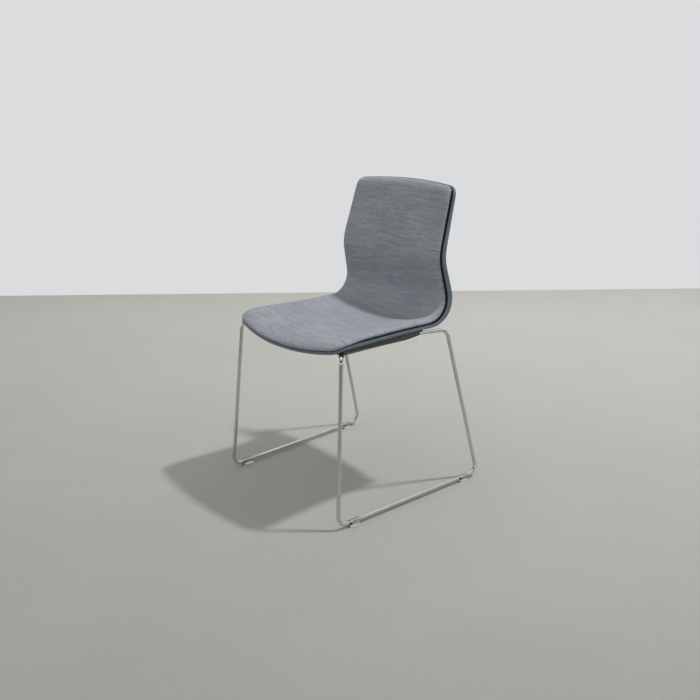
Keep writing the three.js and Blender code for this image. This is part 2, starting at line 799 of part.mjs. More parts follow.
// The room that the shell takes above the tray.
function shellRoom() {
  const high = 3 * padHeight;
  const foot = (s) => rimFoot(s) - gap;
  return skin([
    ...middleRings(0, high), faceRing(-gap, high), faceRing(-gap, foot),
    faceRing(flangeWidth + gap, foot), faceRing(flangeFoot + gap, shellUnder - gap),
    ...middleRings(flangeFoot + gap, shellUnder - gap).reverse(),
  ]);
}

function tray() {
  const posts = trayScrewPlaces.map(({ place, post }) => pin(trayPostRadius, trayWall / 2, post, place));
  const bores = trayScrewPlaces.map(({ place, post }) => turned([
    [0, -overrun], [trayScrewHeadRadius + gap, -overrun], [trayScrewHeadRadius + gap, 2 * gap],
    [trayScrewRadius + gap, sinkDepth + 2 * gap], [trayScrewRadius + gap, post + overrun],
    [0, post + overrun],
  ], place));
  const rods = [1, -1].map((side) => rodLoop(side, rodRadius + gap));
  return combined(trayBlank(), posts, [
    shellRoom(), ...rods, ...rodSlots(1), ...rodSlots(-1), ...bores,
  ]);
}

function trayScrew({ place, post }) {
  const tip = post + gap + plateThickness;
  const body = turned([
    [0, gap], [trayScrewHeadRadius, gap], [trayScrewRadius, gap + sinkDepth],
    [trayScrewRadius, tip - trayScrewRadius], [0, tip],
  ], place);
  const slotDepth = sinkDepth / 2;
  const arms = [0, Math.PI / 2].map((turn) => {
    const arm = new THREE.BoxGeometry(trayScrewHeadRadius, trayScrewSlot, 2 * slotDepth);
    arm.rotateZ(turn);
    arm.translate(place.x, place.y, place.z + gap);
    return arm;
  });
  return combined(body, [], arms);
}

// Sleeves and glides

function sleeve(side) {
  const bend = loopStations(side).slice(meshSteps.rodBend + 1, 2 * (meshSteps.rodBend + 1));
  const first = Math.round(sleeveStartShare * meshSteps.rodBend);
  const covered = bend.slice(first);
  const inner = roundSections(covered, rodRadius + gap);
  const outer = roundSections(covered, rodRadius + gap + sleeveThickness);
  return skin([...outer, ...inner.reverse()], true);
}

// A clip that grips the rod from below, with a flat sole.
function glideShape() {
  const grip = rodRadius + gap;
  const outer = grip + glideWall;
  const mouth = THREE.MathUtils.degToRad(glideMouthAngle);
  const [right, left] = [Math.PI / 2 - mouth, Math.PI / 2 + mouth];
  const shape = new THREE.Shape();
  shape.moveTo(-glideHalfWidth, -rodAxisZ);
  shape.lineTo(glideHalfWidth, -rodAxisZ);
  shape.lineTo(outer, -rodRadius);
  shape.absarc(0, 0, outer, 0, right, false);
  shape.absarc(0, 0, grip, right, left, true);
  shape.absarc(0, 0, outer, left, Math.PI, false);
  shape.lineTo(-outer, -rodRadius);
  shape.closePath();
  return shape;
}

// Distance from a floor corner of the loop to the end of its bend.
function bendTangent(side, atFront) {
  const [frontFloor, frontUp, , rearUp, rearFloor] = loopCorners(side);
  const [corner, along, up] = atFront
    ? [frontFloor, rearFloor, frontUp] : [rearFloor, frontFloor, rearUp];
  const angle = along.clone().sub(corner).angleTo(up.clone().sub(corner));
  return bendRadius / Math.tan(angle / 2);
}

function glide(side, atFront) {
  const [front, , , , rear] = loopCorners(side);
  const [corner, other] = atFront ? [front, rear] : [rear, front];
  const along = other.clone().sub(corner).normalize();
  const straight = corner.clone().addScaledVector(along, bendTangent(side, atFront));
  const centre = straight.addScaledVector(along, glideSetback + glideLength / 2);
  const body = new THREE.ExtrudeGeometry(glideShape(), {
    depth: glideLength, curveSegments: meshSteps.glideArc, bevelEnabled: false,
  });
  body.translate(0, 0, -glideLength / 2);
  body.rotateX(Math.PI / 2);
  body.rotateZ(Math.atan2(along.y, along.x) + Math.PI / 2);
  body.translate(centre.x, centre.y, centre.z);
  return welded(body);
}

// Assembly

addPart('shell', shell(), 'shell');
addPart('pad_liner', liner(), 'liner');
addPart('pad_foam', foam(), 'foam');
addPart('fabric_cover', cover(), 'fabric');
addPart('seat_tray', tray(), 'tray');
plates.forEach((plate) => addPart(`${plate.name}_cross_plate`, crossPlate(plate), 'steel'));
screwPlaces.forEach((spot) => {
  addPart(`shell_screw_${spot.name}`, shellScrew(spot.place), 'steel');
  addPart(`shell_washer_${spot.name}`, shellWasher(spot.place), 'steel');
  addPart(`shell_insert_${spot.name}`, insert(spot), 'brass');
});
trayScrewPlaces.forEach((spot) => addPart(`tray_screw_${spot.name}`, trayScrew(spot), 'steel'));
clipPlaces.forEach((spot) => addPart(`pad_clip_${spot.name}`, clip(spot), 'clip'));
[[1, 'left'], [-1, 'right']].forEach(([side, name]) => {
  addPart(`side_frame_${name}`, rodLoop(side, rodRadius), 'chrome');
  addPart(`pad_tape_${name}`, tape(side), 'tape');
  addPart(`leg_sleeve_${name}`, sleeve(side), 'sleeve');
  addPart(`glide_front_${name}`, glide(side, true), 'glide');
  addPart(`glide_rear_${name}`, glide(side, false), 'glide');
});

// The origin is the middle of the whole piece on the floor.
const middle = new THREE.Box3().setFromObject(group).getCenter(new THREE.Vector3());
group.children.forEach(({ geometry }) => geometry.translate(0, -middle.y, 0));

export default group;
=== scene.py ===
import math
import bpy
import numpy as np
from mathutils import Matrix, Vector


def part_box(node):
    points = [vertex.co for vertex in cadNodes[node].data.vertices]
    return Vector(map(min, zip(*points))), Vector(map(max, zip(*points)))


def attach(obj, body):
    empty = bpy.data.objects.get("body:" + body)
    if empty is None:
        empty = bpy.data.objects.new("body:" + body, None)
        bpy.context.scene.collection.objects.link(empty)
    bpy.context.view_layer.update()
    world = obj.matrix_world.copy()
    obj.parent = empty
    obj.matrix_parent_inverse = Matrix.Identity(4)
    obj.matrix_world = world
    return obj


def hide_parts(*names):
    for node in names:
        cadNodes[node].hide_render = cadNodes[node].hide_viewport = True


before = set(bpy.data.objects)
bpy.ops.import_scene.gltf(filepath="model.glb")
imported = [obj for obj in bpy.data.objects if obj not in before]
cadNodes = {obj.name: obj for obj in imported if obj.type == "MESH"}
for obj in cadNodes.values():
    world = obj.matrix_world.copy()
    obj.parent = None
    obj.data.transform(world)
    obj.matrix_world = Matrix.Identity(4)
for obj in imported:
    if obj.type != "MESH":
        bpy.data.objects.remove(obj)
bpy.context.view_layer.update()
mm = 0.001


# small helpers for node trees

class NodeValue:  # one output socket, so that sums on it read as sums
    def __init__(self, tree, socket):
        self.tree = tree
        self.socket = socket

    def __add__(self, other):
        return self.tree.maths("ADD", self, other)

    def __radd__(self, other):
        return self.tree.maths("ADD", other, self)

    def __sub__(self, other):
        return self.tree.maths("SUBTRACT", self, other)

    def __rsub__(self, other):
        return self.tree.maths("SUBTRACT", other, self)

    def __mul__(self, other):
        return self.tree.maths("MULTIPLY", self, other)

    def __rmul__(self, other):
        return self.tree.maths("MULTIPLY", other, self)

    def __truediv__(self, other):
        return self.tree.maths("DIVIDE", self, other)

    def output(self, name):
        return NodeValue(self.tree, self.socket.node.outputs[name])


class NodeTree:  # adds nodes to a shader or geometry tree
    def __init__(self, tree):
        self.tree = tree

    def add(self, nodeType, settings=None, inputs=(), output=0):
        node = self.tree.nodes.new(nodeType)
        for name, value in (settings or {}).items():
            if name == "stops":
                self.setStops(node.color_ramp, value)
            else:
                setattr(node, name, value)
        pairs = inputs.items() if isinstance(inputs, dict) else enumerate(inputs)
        for key, value in pairs:
            self.plug(value, node.inputs[key])
        return NodeValue(self, node.outputs[output])

    def plug(self, value, socket):
        if isinstance(value, NodeValue):
            self.tree.links.new(value.socket, socket)
        else:
            socket.default_value = value

    def setStops(self, ramp, stops):
        while len(ramp.elements) < len(stops):
            ramp.elements.new(1)
        for element, (position, colour) in zip(ramp.elements, stops):
            element.position = position
            element.color = colour

    def maths(self, operation, *values):
        return self.add("ShaderNodeMath", {"operation": operation}, values)

    def scaled(self, colour, shade):
        return self.add("ShaderNodeVectorMath", {"operation": "SCALE"}, {0: colour, "Scale": shade})

    def mixColours(self, factor, first, second):  # the colours are sockets or codes
        colours = [tone(colour) if isinstance(colour, str) else colour for colour in (first, second)]
        return self.add("ShaderNodeMix", {"data_type": "RGBA"}, {0: factor, 6: colours[0], 7: colours[1]}, 2)

    def noise(self, place, scale, detail=2.0, roughness=0.5):
        return self.add("ShaderNodeTexNoise", None,
                        {"Vector": place, "Scale": scale, "Detail": detail, "Roughness": roughness})

    def remap(self, value, low, high, newLow=0.0, newHigh=1.0):
        return self.add("ShaderNodeMapRange", {"interpolation_type": "SMOOTHSTEP"},
                        {"Value": value, "From Min": low, "From Max": high, "To Min": newLow, "To Max": newHigh})

    def bump(self, height, distance, strength=1.0):
        return self.add("ShaderNodeBump", None, {"Height": height, "Distance": distance, "Strength": strength})


def tone(code):  # a colour as written in a paint program, made linear
    parts = [int(code[i:i + 2], 16) / 255 for i in (0, 2, 4)]
    linear = [c / 12.92 if c <= 0.04045 else ((c + 0.055) / 1.055) ** 2.4 for c in parts]
    return (*linear, 1.0)


def newMaterial(name, constants, uvName=None):  # place is a UV map where one is named, else Object coordinates
    material = bpy.data.materials.new(name)
    material.use_nodes = True
    nodes = NodeTree(material.node_tree)
    shader = material.node_tree.nodes["Principled BSDF"]
    for socketName, value in constants.items():
        shader.inputs[socketName].default_value = value

    def feed(baseColor, roughness=None, normal=None):  # the values that vary over the piece
        for socketName, value in (("Base Color", baseColor), ("Roughness", roughness), ("Normal", normal)):
            if value is not None:
                nodes.plug(value, shader.inputs[socketName])

    place = (nodes.add("ShaderNodeUVMap", {"uv_map": uvName}) if uvName
             else nodes.add("ShaderNodeTexCoord", None, (), "Object"))
    return material, nodes, feed, place


# finishes

def fabricMaterial():
    look = {"weftPitch": 0.0022, "warpPitch": 0.0012, "slubLength": 0.075, "slubShift": 3.71, "fineLength": 0.004,
            "fineShift": 5.13, "cloudScale": 9.0, "weftLight": "adb2b8", "weftDark": "7e838b", "warpTone": "8a9097",
            "warpShare": 0.55, "yarnDepth": 0.00035, "sheen": 0.03}
    material, nodes, feed, place = newMaterial("woven upholstery fabric", {
        "Sheen Weight": look["sheen"], "Sheen Roughness": 0.45, "Specular IOR Level": 0.18}, "weave")
    parts = nodes.add("ShaderNodeSeparateXYZ", None, [place])
    across, along = parts.output("X"), parts.output("Y")
    row = nodes.maths("FLOOR", along / look["weftPitch"])
    # every weft yarn has thick and thin stretches of its own
    slubPlace = nodes.add("ShaderNodeCombineXYZ", None, [across / look["slubLength"], row * look["slubShift"], 0.0])
    slub = nodes.noise(slubPlace, 1.0, detail=3.0, roughness=0.6)
    finePlace = nodes.add("ShaderNodeCombineXYZ", None, [across / look["fineLength"], row * look["fineShift"], 4.0])
    fine = nodes.noise(finePlace, 1.0, detail=2.0, roughness=0.5)
    cloudPlace = nodes.add("ShaderNodeCombineXYZ", None, [across, along, 0.0])
    cloud = nodes.noise(cloudPlace, look["cloudScale"], detail=2.0, roughness=0.5)
    weft = nodes.remap(slub * 0.56 + fine * 0.44, 0.34, 0.66, 0.04, 0.96)
    weftTone = nodes.mixColours(weft, look["weftDark"], look["weftLight"])
    # plain weave: warp and weft take turns on top
    warpWave = nodes.maths("SINE", across * (math.pi / look["warpPitch"]))
    weftWave = nodes.maths("SINE", along * (math.pi / look["weftPitch"]))
    weave = warpWave * weftWave
    over = nodes.remap(weave, -0.35, 0.35)
    woven = nodes.mixColours(over * look["warpShare"], weftTone, look["warpTone"])
    height = nodes.maths("ABSOLUTE", weave) * 0.5 + weft * 0.5
    feed(baseColor=nodes.scaled(woven, nodes.remap(cloud, 0.3, 0.7, 0.95, 1.05)),
         roughness=nodes.remap(slub, 0.3, 0.7, 0.86, 0.98),
         normal=nodes.bump(height, look["yarnDepth"], strength=0.7))
    return material


def mouldedMaterial(name, look):
    material, nodes, feed, place = newMaterial(name, {"Specular IOR Level": look["specular"]})
    grain = nodes.noise(place, look["grainScale"], detail=2.0, roughness=0.6)
    cloud = nodes.noise(place, 14.0, detail=3.0, roughness=0.55)
    scuff = nodes.remap(nodes.noise(place, 90.0, detail=4.0, roughness=0.7), 0.62, 0.78)
    base = nodes.mixColours(cloud, look["dark"], look["light"])
    feed(baseColor=nodes.mixColours(scuff * 0.25, base, look["worn"]),
         roughness=nodes.remap(grain * 0.6 + cloud * 0.4, 0.3, 0.7,
                               look["roughness"] - 0.05, look["roughness"] + 0.06),
         normal=nodes.bump(grain, look["grainDepth"], strength=0.6))
    return material


def chromeMaterial():
    look = {"tint": "d3d4d2", "dull": "b4b5b2", "roughness": 0.05}
    material, nodes, feed, place = newMaterial("chromed steel rod", {"Metallic": 1.0})
    drawn = nodes.noise(place, 60.0, detail=4.0, roughness=0.6)
    specks = nodes.remap(nodes.noise(place, 700.0, detail=2.0, roughness=0.5), 0.68, 0.76)
    tarnish = nodes.remap(drawn, 0.45, 0.8) * 0.5 + specks * 0.3
    feed(baseColor=nodes.mixColours(tarnish, look["tint"], look["dull"]),
         roughness=nodes.remap(drawn, 0.3, 0.7, look["roughness"] - 0.03, look["roughness"] + 0.05),
         normal=nodes.bump(drawn, 0.00002, strength=0.3))
    return material


def zincMaterial(name, light, dark, roughness):
    material, nodes, feed, place = newMaterial(name, {"Metallic": 1.0})
    spangle = nodes.add("ShaderNodeTexVoronoi", None, {"Vector": place, "Scale": 260.0}, "Distance")
    cloud = nodes.noise(place, 45.0, detail=4.0, roughness=0.6)
    feed(baseColor=nodes.mixColours(spangle * 0.4 + cloud * 0.6, dark, light),
         roughness=nodes.remap(cloud, 0.3, 0.7, roughness - 0.08, roughness + 0.1),
         normal=nodes.bump(cloud, 0.00005, strength=0.4))
    return material


def rubberMaterial(name, dark, light, roughness):
    material, nodes, feed, place = newMaterial(name, {"Specular IOR Level": 0.4})
    grain = nodes.noise(place, 1400.0, detail=2.0, roughness=0.6)
    dust = nodes.noise(place, 30.0, detail=4.0, roughness=0.65)
    feed(baseColor=nodes.mixColours(nodes.remap(dust, 0.4, 0.8), dark, light),
         roughness=nodes.remap(grain, 0.3, 0.7, roughness - 0.08, roughness + 0.08),
         normal=nodes.bump(grain, 0.00006, strength=0.5))
    return material


def clearMaterial():
    look = {"tint": "ffffff", "haze": "f1f4f3"}
    material, nodes, feed, place = newMaterial("clear glide plastic", {
        "Transmission Weight": 1.0, "IOR": 1.46, "Specular IOR Level": 0.6})
    haze = nodes.noise(place, 120.0, detail=3.0, roughness=0.6)
    feed(baseColor=nodes.mixColours(haze, look["tint"], look["haze"]),
         roughness=nodes.remap(haze, 0.35, 0.7, 0.0, 0.06), normal=nodes.bump(haze, 0.0001, strength=0.3))
    return material


def foamMaterial():
    look = {"light": "dfd9bf", "dark": "c3ba98", "poreScale": 900.0}
    material, nodes, feed, place = newMaterial("moulded foam", {"Roughness": 1.0, "Specular IOR Level": 0.1})
    pores = nodes.add("ShaderNodeTexVoronoi", None, {"Vector": place, "Scale": look["poreScale"]}, "Distance")
    cells = nodes.remap(pores, 0.1, 0.5)
    feed(baseColor=nodes.mixColours(cells, look["dark"], look["light"]),
         normal=nodes.bump(cells, 0.0004, strength=0.8))
    return material


def tapeMaterial():
    look = {"light": "e9e6dc", "dark": "b9b4a6", "hookPitch": 0.0016}
    material, nodes, feed, place = newMaterial("hook tape", {"Roughness": 0.85})
    parts = nodes.add("ShaderNodeSeparateXYZ", None, [place])
    rows, columns = (nodes.maths("SINE", parts.output(axis) * (math.tau / look["hookPitch"])) for axis in "XZ")
    hooks = nodes.remap(rows * columns, -0.4, 0.6)
    feed(baseColor=nodes.mixColours(hooks, look["dark"], look["light"]),
         normal=nodes.bump(hooks, 0.0005, strength=0.8))
    return material


fabric = fabricMaterial()
shellPlastic = mouldedMaterial("blue-grey polypropylene", {
    "dark": "56666f", "light": "61727d", "worn": "85949d", "roughness": 0.38, "specular": 0.6,
    "grainScale": 1500.0, "grainDepth": 0.00005})
trayPlastic = mouldedMaterial("dark grey tray plastic", {
    "dark": "434341", "light": "4f4f4c", "worn": "6a6a66", "roughness": 0.55, "specular": 0.4,
    "grainScale": 1100.0, "grainDepth": 0.00008})
clipNylon = mouldedMaterial("natural nylon", {
    "dark": "dad7cb", "light": "e8e6dd", "worn": "f2f1ec", "roughness": 0.45, "specular": 0.5,
    "grainScale": 900.0, "grainDepth": 0.00004})
chrome = chromeMaterial()
zinc = zincMaterial("zinc plated steel", "b3b5b6", "8d9091", 0.38)
brass = zincMaterial("turned brass", "c9a45a", "a37f3c", 0.34)
sleeveRubber = rubberMaterial("black sleeve", "0e0f10", "1b1c1d", 0.5)
# the liner board is black, and its edge in the groove round the pad also stands in as painted groove shade
linerBoardAndGrooveShade = rubberMaterial("black liner board", "101214", "1c1f22", 0.75)
clearPlastic = clearMaterial()
foam = foamMaterial()
hookTape = tapeMaterial()
print("finishes ready")


# sitting face: side view, half widths and dish, as in the shell's drawing

face = {
    "corners": ((-240.3, 423.0), (-191.3, 436.9), (199.5, 429.4), (159.0, 612.3), (214.1, 794.9)),
    "radii": (67.5, 79.2, 87.2),
    "easing": 7.0,  # how far the bends run out into the straights
    "halfWidths": (211.5, 211.5, 202.8, 205.1, 199.7, 194.3, 184.3),
    "dishes": (9.6, 16.5, 16.6, 18.7, 18.2, 17.8, 17.2),
    "dishPower": 2.2,
    "widthHold": 60.0,
    "dishHold": 40.0,
    "frontBow": 30.4,
    "frontCorner": 33.7,
    "topBow": 12.0,
    "topCorner": 27.0,
    "frontRun": 1.3,  # where the front corner runs out into the side, in corner sizes
    "frontTurn": 0.8,  # share of the bow where its curve gives way to the corner's
    "topTurn": 0.85,
    "outlineSteps": 1599,
    "outlineEasing": 4.0,
}
gridInset = 22.0  # the grid of squares starts this far inside the outline
frontPlateY = -134.0  # middle of the front cross plate in the drawing


def runLengths(points):
    return np.concatenate([[0], np.cumsum(np.linalg.norm(np.diff(points, axis=0), axis=1))])


def readAt(places, stations, pairs):
    return np.stack([np.interp(places, stations, pairs[:, k]) for k in (0, 1)], 1)


def evenly(points, steps):
    lengths = runLengths(points)
    return readAt(np.linspace(0, lengths[-1], steps + 1), lengths, points)


def unit(vector):
    return vector / np.linalg.norm(vector)


def bendAt(before, corner, after, radius):  # a bend's middle, the spoke to its start, the way back and half its angle
    before, corner, after = (np.array(point, float) for point in (before, corner, after))
    back, ahead = unit(before - corner), unit(after - corner)
    half = math.acos(np.clip(back @ ahead, -1, 1)) / 2
    centre = corner + unit(back + ahead) * radius / math.sin(half)
    return centre, (corner + back * radius / math.tan(half) - centre) / radius, back, half


def bentSideView(corners, radii, arcSteps=48):
    points, middles = [np.array(corners[0])], []
    for before, corner, after, radius in zip(corners, corners[1:], corners[2:], radii):
        centre, spoke, back, half = bendAt(before, corner, after, radius)
        turns = np.linspace(0, math.pi - 2 * half, arcSteps + 1)[:, None]
        middles.append(len(points) + arcSteps // 2)
        points += list(centre + radius * (spoke * np.cos(turns) - back * np.sin(turns)))
    points = np.array(points + [np.array(corners[-1])])
    lengths = runLengths(points)
    return points, lengths, lengths[middles]


def eased(values, spread, step=1.0):  # evenly spaced values smoothed, straight on past both ends
    reach = int(4 * spread / step)
    weights = np.exp(-0.5 * (np.arange(-reach, reach + 1) * step / spread) ** 2)
    first = values[0] - (values[1] - values[0]) * np.arange(reach, 0, -1)[:, None]
    last = values[-1] + (values[-1] - values[-2]) * np.arange(1, reach + 1)[:, None]
    padded = np.concatenate([first, values, last])
    weights /= weights.sum()
    return np.stack([np.convolve(column, weights, "valid") for column in padded.T], 1)


def curveThrough(stations, values):  # cubic pieces whose slopes are the mean of the chords beside them
    stations, values = np.array(stations), np.array(values)
    chords = np.diff(values) / np.diff(stations)
    slopes = np.concatenate([chords[:1], (chords[1:] + chords[:-1]) / 2, chords[-1:]])

    def at(s):
        k = np.clip(np.searchsorted(stations, s) - 1, 0, len(stations) - 2)
        width = stations[k + 1] - stations[k]
        p = np.clip((s - stations[k]) / width, 0, 1)
        return ((1 + 2 * p) * (1 - p) ** 2 * values[k] + p * (1 - p) ** 2 * width * slopes[k]
                + p * p * (3 - 2 * p) * values[k + 1] + p * p * (p - 1) * width * slopes[k + 1])

    return at


bentPoints, bentLengths, (kneeS, hipS, lumbarS) = bentSideView(face["corners"], face["radii"])
faceLength = bentLengths[-1]
sideS = np.linspace(0, faceLength, int(faceLength) + 1)
sideView = eased(readAt(sideS, bentLengths, bentPoints), face["easing"], sideS[1])
sideTangent = np.gradient(sideView, sideS, axis=0)
sideTangent /= np.linalg.norm(sideTangent, axis=1)[:, None]
widthStations = (0, kneeS + face["widthHold"], (kneeS + hipS) / 2, hipS, (hipS + lumbarS) / 2, lumbarS, faceLength)
dishStations = (0, kneeS + face["dishHold"], *widthStations[2:])
halfWidth = curveThrough(widthStations, face["halfWidths"])
dish = curveThrough(dishStations, face["dishes"])

plateLow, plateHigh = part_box("front_cross_plate")
frameShift = (plateLow.y + plateHigh.y) / 2 / mm - frontPlateY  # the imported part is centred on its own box


def facePoints(x, s, offset=0.0):  # points x across and s along the face, offset towards the sitter
    place, tangent = readAt(s, sideS, sideView), readAt(s, sideS, sideTangent)
    beyond = (s - np.clip(s, 0, faceLength))[:, None]
    place = place + tangent * beyond
    share = np.abs(x) / halfWidth(s)
    slope = dish(s) * face["dishPower"] * share ** (face["dishPower"] - 1) * np.sign(x) / halfWidth(s)
    tilt = 1 / np.hypot(1, slope)
    lift = dish(s) * share ** face["dishPower"] + offset * tilt
    return np.stack([x - offset * slope * tilt, place[:, 0] - tangent[:, 1] * lift + frameShift,
                     place[:, 1] + tangent[:, 0] * lift], 1)


def facePoint(x, s, offset):
    return facePoints(np.array([x]), np.array([s]), offset)[0]


def quadratic(start, pull, end, steps=40):
    t = np.linspace(0, 1, steps + 1)[:-1, None]
    return (1 - t) ** 2 * np.array(start) + 2 * t * (1 - t) * np.array(pull) + t * t * np.array(end)


def halfOutline():  # from the middle of the front edge to the middle of the top edge, on +X
    frontWidth, topWidth = face["halfWidths"][0], face["halfWidths"][-1]
    frontInner, topInner = frontWidth - face["frontCorner"], topWidth - face["topCorner"]
    sideStart = face["frontBow"] + face["frontRun"] * face["frontCorner"]
    sideEnd = faceLength - face["topBow"] - face["topCorner"]
    frontTurn = (frontInner, face["frontTurn"] * face["frontBow"])
    topTurn = (topInner, faceLength - face["topTurn"] * face["topBow"])
    sides = np.linspace(sideStart, sideEnd, 300)[:-1]
    points = np.concatenate([
        quadratic((0, 0), (frontInner / 2, 0), frontTurn),
        quadratic(frontTurn, (frontWidth, face["frontBow"]), (halfWidth(sideStart), sideStart)),
        np.stack([halfWidth(sides), sides], 1),
        quadratic((halfWidth(sideEnd), sideEnd), (topWidth, faceLength - face["topBow"]), topTurn),
        quadratic(topTurn, (topInner / 2, faceLength), (0, faceLength)), [[0, faceLength]]])
    steps = face["outlineSteps"]
    return evenly(points, steps), runLengths(points)[-1] / steps


def heightAt(offset, s):
    return offset(s) if callable(offset) else np.full(len(s), float(offset))


class FaceSheet:  # the outline as a ring of points, and a grid of squares inside it
    def __init__(self, endSteps, sideSteps):
        half, step = halfOutline()
        full = np.concatenate([half[:0:-1] * (-1, 1), half])  # round the front corner by corner, mirrored in x
        smooth = eased(full, face["outlineEasing"], step)[len(half) - 1:]
        smooth[0, 0] = smooth[-1, 0] = 0
        turn = np.unwrap(np.arctan2(*np.gradient(smooth, axis=0).T[::-1]))
        frontEnd = int(np.argmax(turn > math.pi / 4))
        topStart = int(np.argmax(turn > 3 * math.pi / 4))
        front = evenly(smooth[:frontEnd + 1], endSteps)
        side = evenly(smooth[frontEnd:topStart + 1], sideSteps)
        top = evenly(smooth[topStart:], endSteps)
        right = np.concatenate([front, side[1:], top[1:]])
        left = right[-2:0:-1] * (-1, 1)
        ring = np.concatenate([right, left])
        self.ring = np.roll(ring, endSteps, axis=0)  # starts at the left front corner
        self.columns, self.rows = 2 * endSteps, sideSteps
        self.count = len(ring)
        ahead = np.roll(self.ring, -1, axis=0) - np.roll(self.ring, 1, axis=0)
        self.inwards = np.stack([-ahead[:, 1], ahead[:, 0]], 1) / np.linalg.norm(ahead, axis=1)[:, None]
        self.grid = self.patch(self.inset(gridInset))

    def inset(self, amount):  # a plain number, or a function of the station
        reach = amount(self.ring[:, 1]) if callable(amount) else np.full(self.count, float(amount))
        return self.ring + self.inwards * reach[:, None]

    def patch(self, ring):  # squares between the four sides of the innermost ring
        n, m = self.columns, self.rows
        front, right = ring[:n + 1], ring[n:n + m + 1]
        top = ring[n + m:2 * n + m + 1][::-1]
        left = np.concatenate([ring[2 * n + m:], ring[:1]])[::-1]
        u, v = np.linspace(0, 1, n + 1)[None, :, None], np.linspace(0, 1, m + 1)[:, None, None]
        ends = (1 - v) * front[None] + v * top[None]
        sides = (1 - u) * left[:, None] + u * right[:, None]
        corners = (1 - v) * ((1 - u) * front[0] + u * front[-1]) + v * ((1 - u) * top[0] + u * top[-1])
        return ends + sides - corners

    def loop(self, inset, offset):
        x, s = self.inset(inset).T
        return facePoints(x, s, heightAt(offset, s))

    def gridIndex(self, loopStart, insideStart):
        n, m = self.columns, self.rows
        index = np.zeros((m + 1, n + 1), int)
        index[0, :] = loopStart + np.arange(n + 1)
        index[:, n] = loopStart + n + np.arange(m + 1)
        index[m, ::-1] = loopStart + n + m + np.arange(n + 1)
        index[:, 0] = loopStart + (2 * n + m + np.arange(m, -1, -1)) % self.count
        index[1:-1, 1:-1] = insideStart + np.arange((m - 1) * (n - 1)).reshape(m - 1, n - 1)
        return index

    # section is (inset, offset) pairs, from the grid on top outwards and round to the grid below
    def mesh(self, name, section, closed=True, hollow=None):
        count, loops = self.count, [self.loop(inset, offset) for inset, offset in section]
        inside = self.grid[1:-1, 1:-1].reshape(-1, 2)
        grids = [0] + ([len(section) - 1] if closed else [])
        points, stretched = np.concatenate(loops), self.unrolled(loops)
        faces, start = [], len(points)
        for k in range(len(section) - 1):
            a, b = k * count + np.arange(count), (k + 1) * count + np.arange(count)
            faces.append(np.stack([a, b, np.roll(b, -1), np.roll(a, -1)], 1))
        for k in grids:
            height = heightAt(section[k][1], inside[:, 1])
            if hollow and k == 0:
                height = height - hollow(*inside.T)
            points = np.concatenate([points, facePoints(*inside.T, height)])
            stretched = np.concatenate([stretched, inside])
            index = self.gridIndex(k * count, start)
            start += len(inside)
            squares = np.stack([index[:-1, :-1], index[:-1, 1:], index[1:, 1:], index[1:, :-1]], -1).reshape(-1, 4)
            faces.append(squares if k == 0 else squares[:, ::-1])
        mesh = newMesh(name, points * mm, np.concatenate(faces).tolist())
        self.layFlat(mesh, stretched * mm)
        return mesh

    def unrolled(self, loops):  # each loop's place on the flat cloth, which isn't stretched round the edge
        gone, flat = np.zeros(self.count), []
        for k, loop in enumerate(loops):
            if k:
                gone = gone + np.linalg.norm(loop - loops[k - 1], axis=1)
            flat.append(self.inset(gridInset) - self.inwards * gone[:, None])
        return np.concatenate(flat)

    def layFlat(self, mesh, flat):
        layer = mesh.uv_layers.new(name="weave")
        corners = np.zeros(len(mesh.loops), int)
        mesh.loops.foreach_get("vertex_index", corners)
        layer.data.foreach_set("uv", flat[corners].astype(np.float32).ravel())


# finishing a piece

def band(low, high, count):  # the faces between two rings of points
    return [(low + i, low + (i + 1) % count, high + (i + 1) % count, high + i) for i in range(count)]


def newMesh(name, points, faces, edges=()):
    mesh = bpy.data.meshes.new(name)
    mesh.from_pydata(points, edges, faces)
    return mesh


def newObject(name, data):
    added = bpy.data.objects.new(name, data)
    bpy.context.scene.collection.objects.link(added)
    return added


def addPiece(name, mesh, material, stands):
    mesh.materials.clear()
    mesh.materials.append(material)
    mesh.shade_smooth()
    piece = newObject(name, mesh)
    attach(piece, "root")
    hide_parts(*stands)
    return piece


def withModifiers(mesh, *modifiers):  # the mesh after a stack of (type, settings)
    holder = newObject("holder", mesh)
    for kind, settings in modifiers:
        modifier = holder.modifiers.new(kind, kind)
        for key, value in settings.items():
            setattr(modifier, key, value)
    graph = bpy.context.evaluated_depsgraph_get()
    result = bpy.data.meshes.new_from_object(holder.evaluated_get(graph), preserve_all_data_layers=True,
                                             depsgraph=graph)
    bpy.data.objects.remove(holder)
    return result


def joined(meshes, name):  # several meshes in one, with no shared corners
    points, faces = [], []
    for mesh in meshes:
        start = len(points)
        points += [tuple(v.co) for v in mesh.vertices]
        faces += [[start + i for i in polygon.vertices] for polygon in mesh.polygons]
    return newMesh(name, points, faces)


def cut(mesh, tools, operation):
    tool = newObject("tool", joined(tools, "tool"))
    result = withModifiers(mesh, ("BOOLEAN", {"object": tool, "operation": operation, "solver": "EXACT"}))
    bpy.data.objects.remove(tool)
    return result


def sharpAt(mesh, degrees):
    mesh.set_sharp_from_angle(angle=math.radians(degrees))
    return mesh


def nodeCentre(name):
    low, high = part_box(name)
    return (low + high) / 2


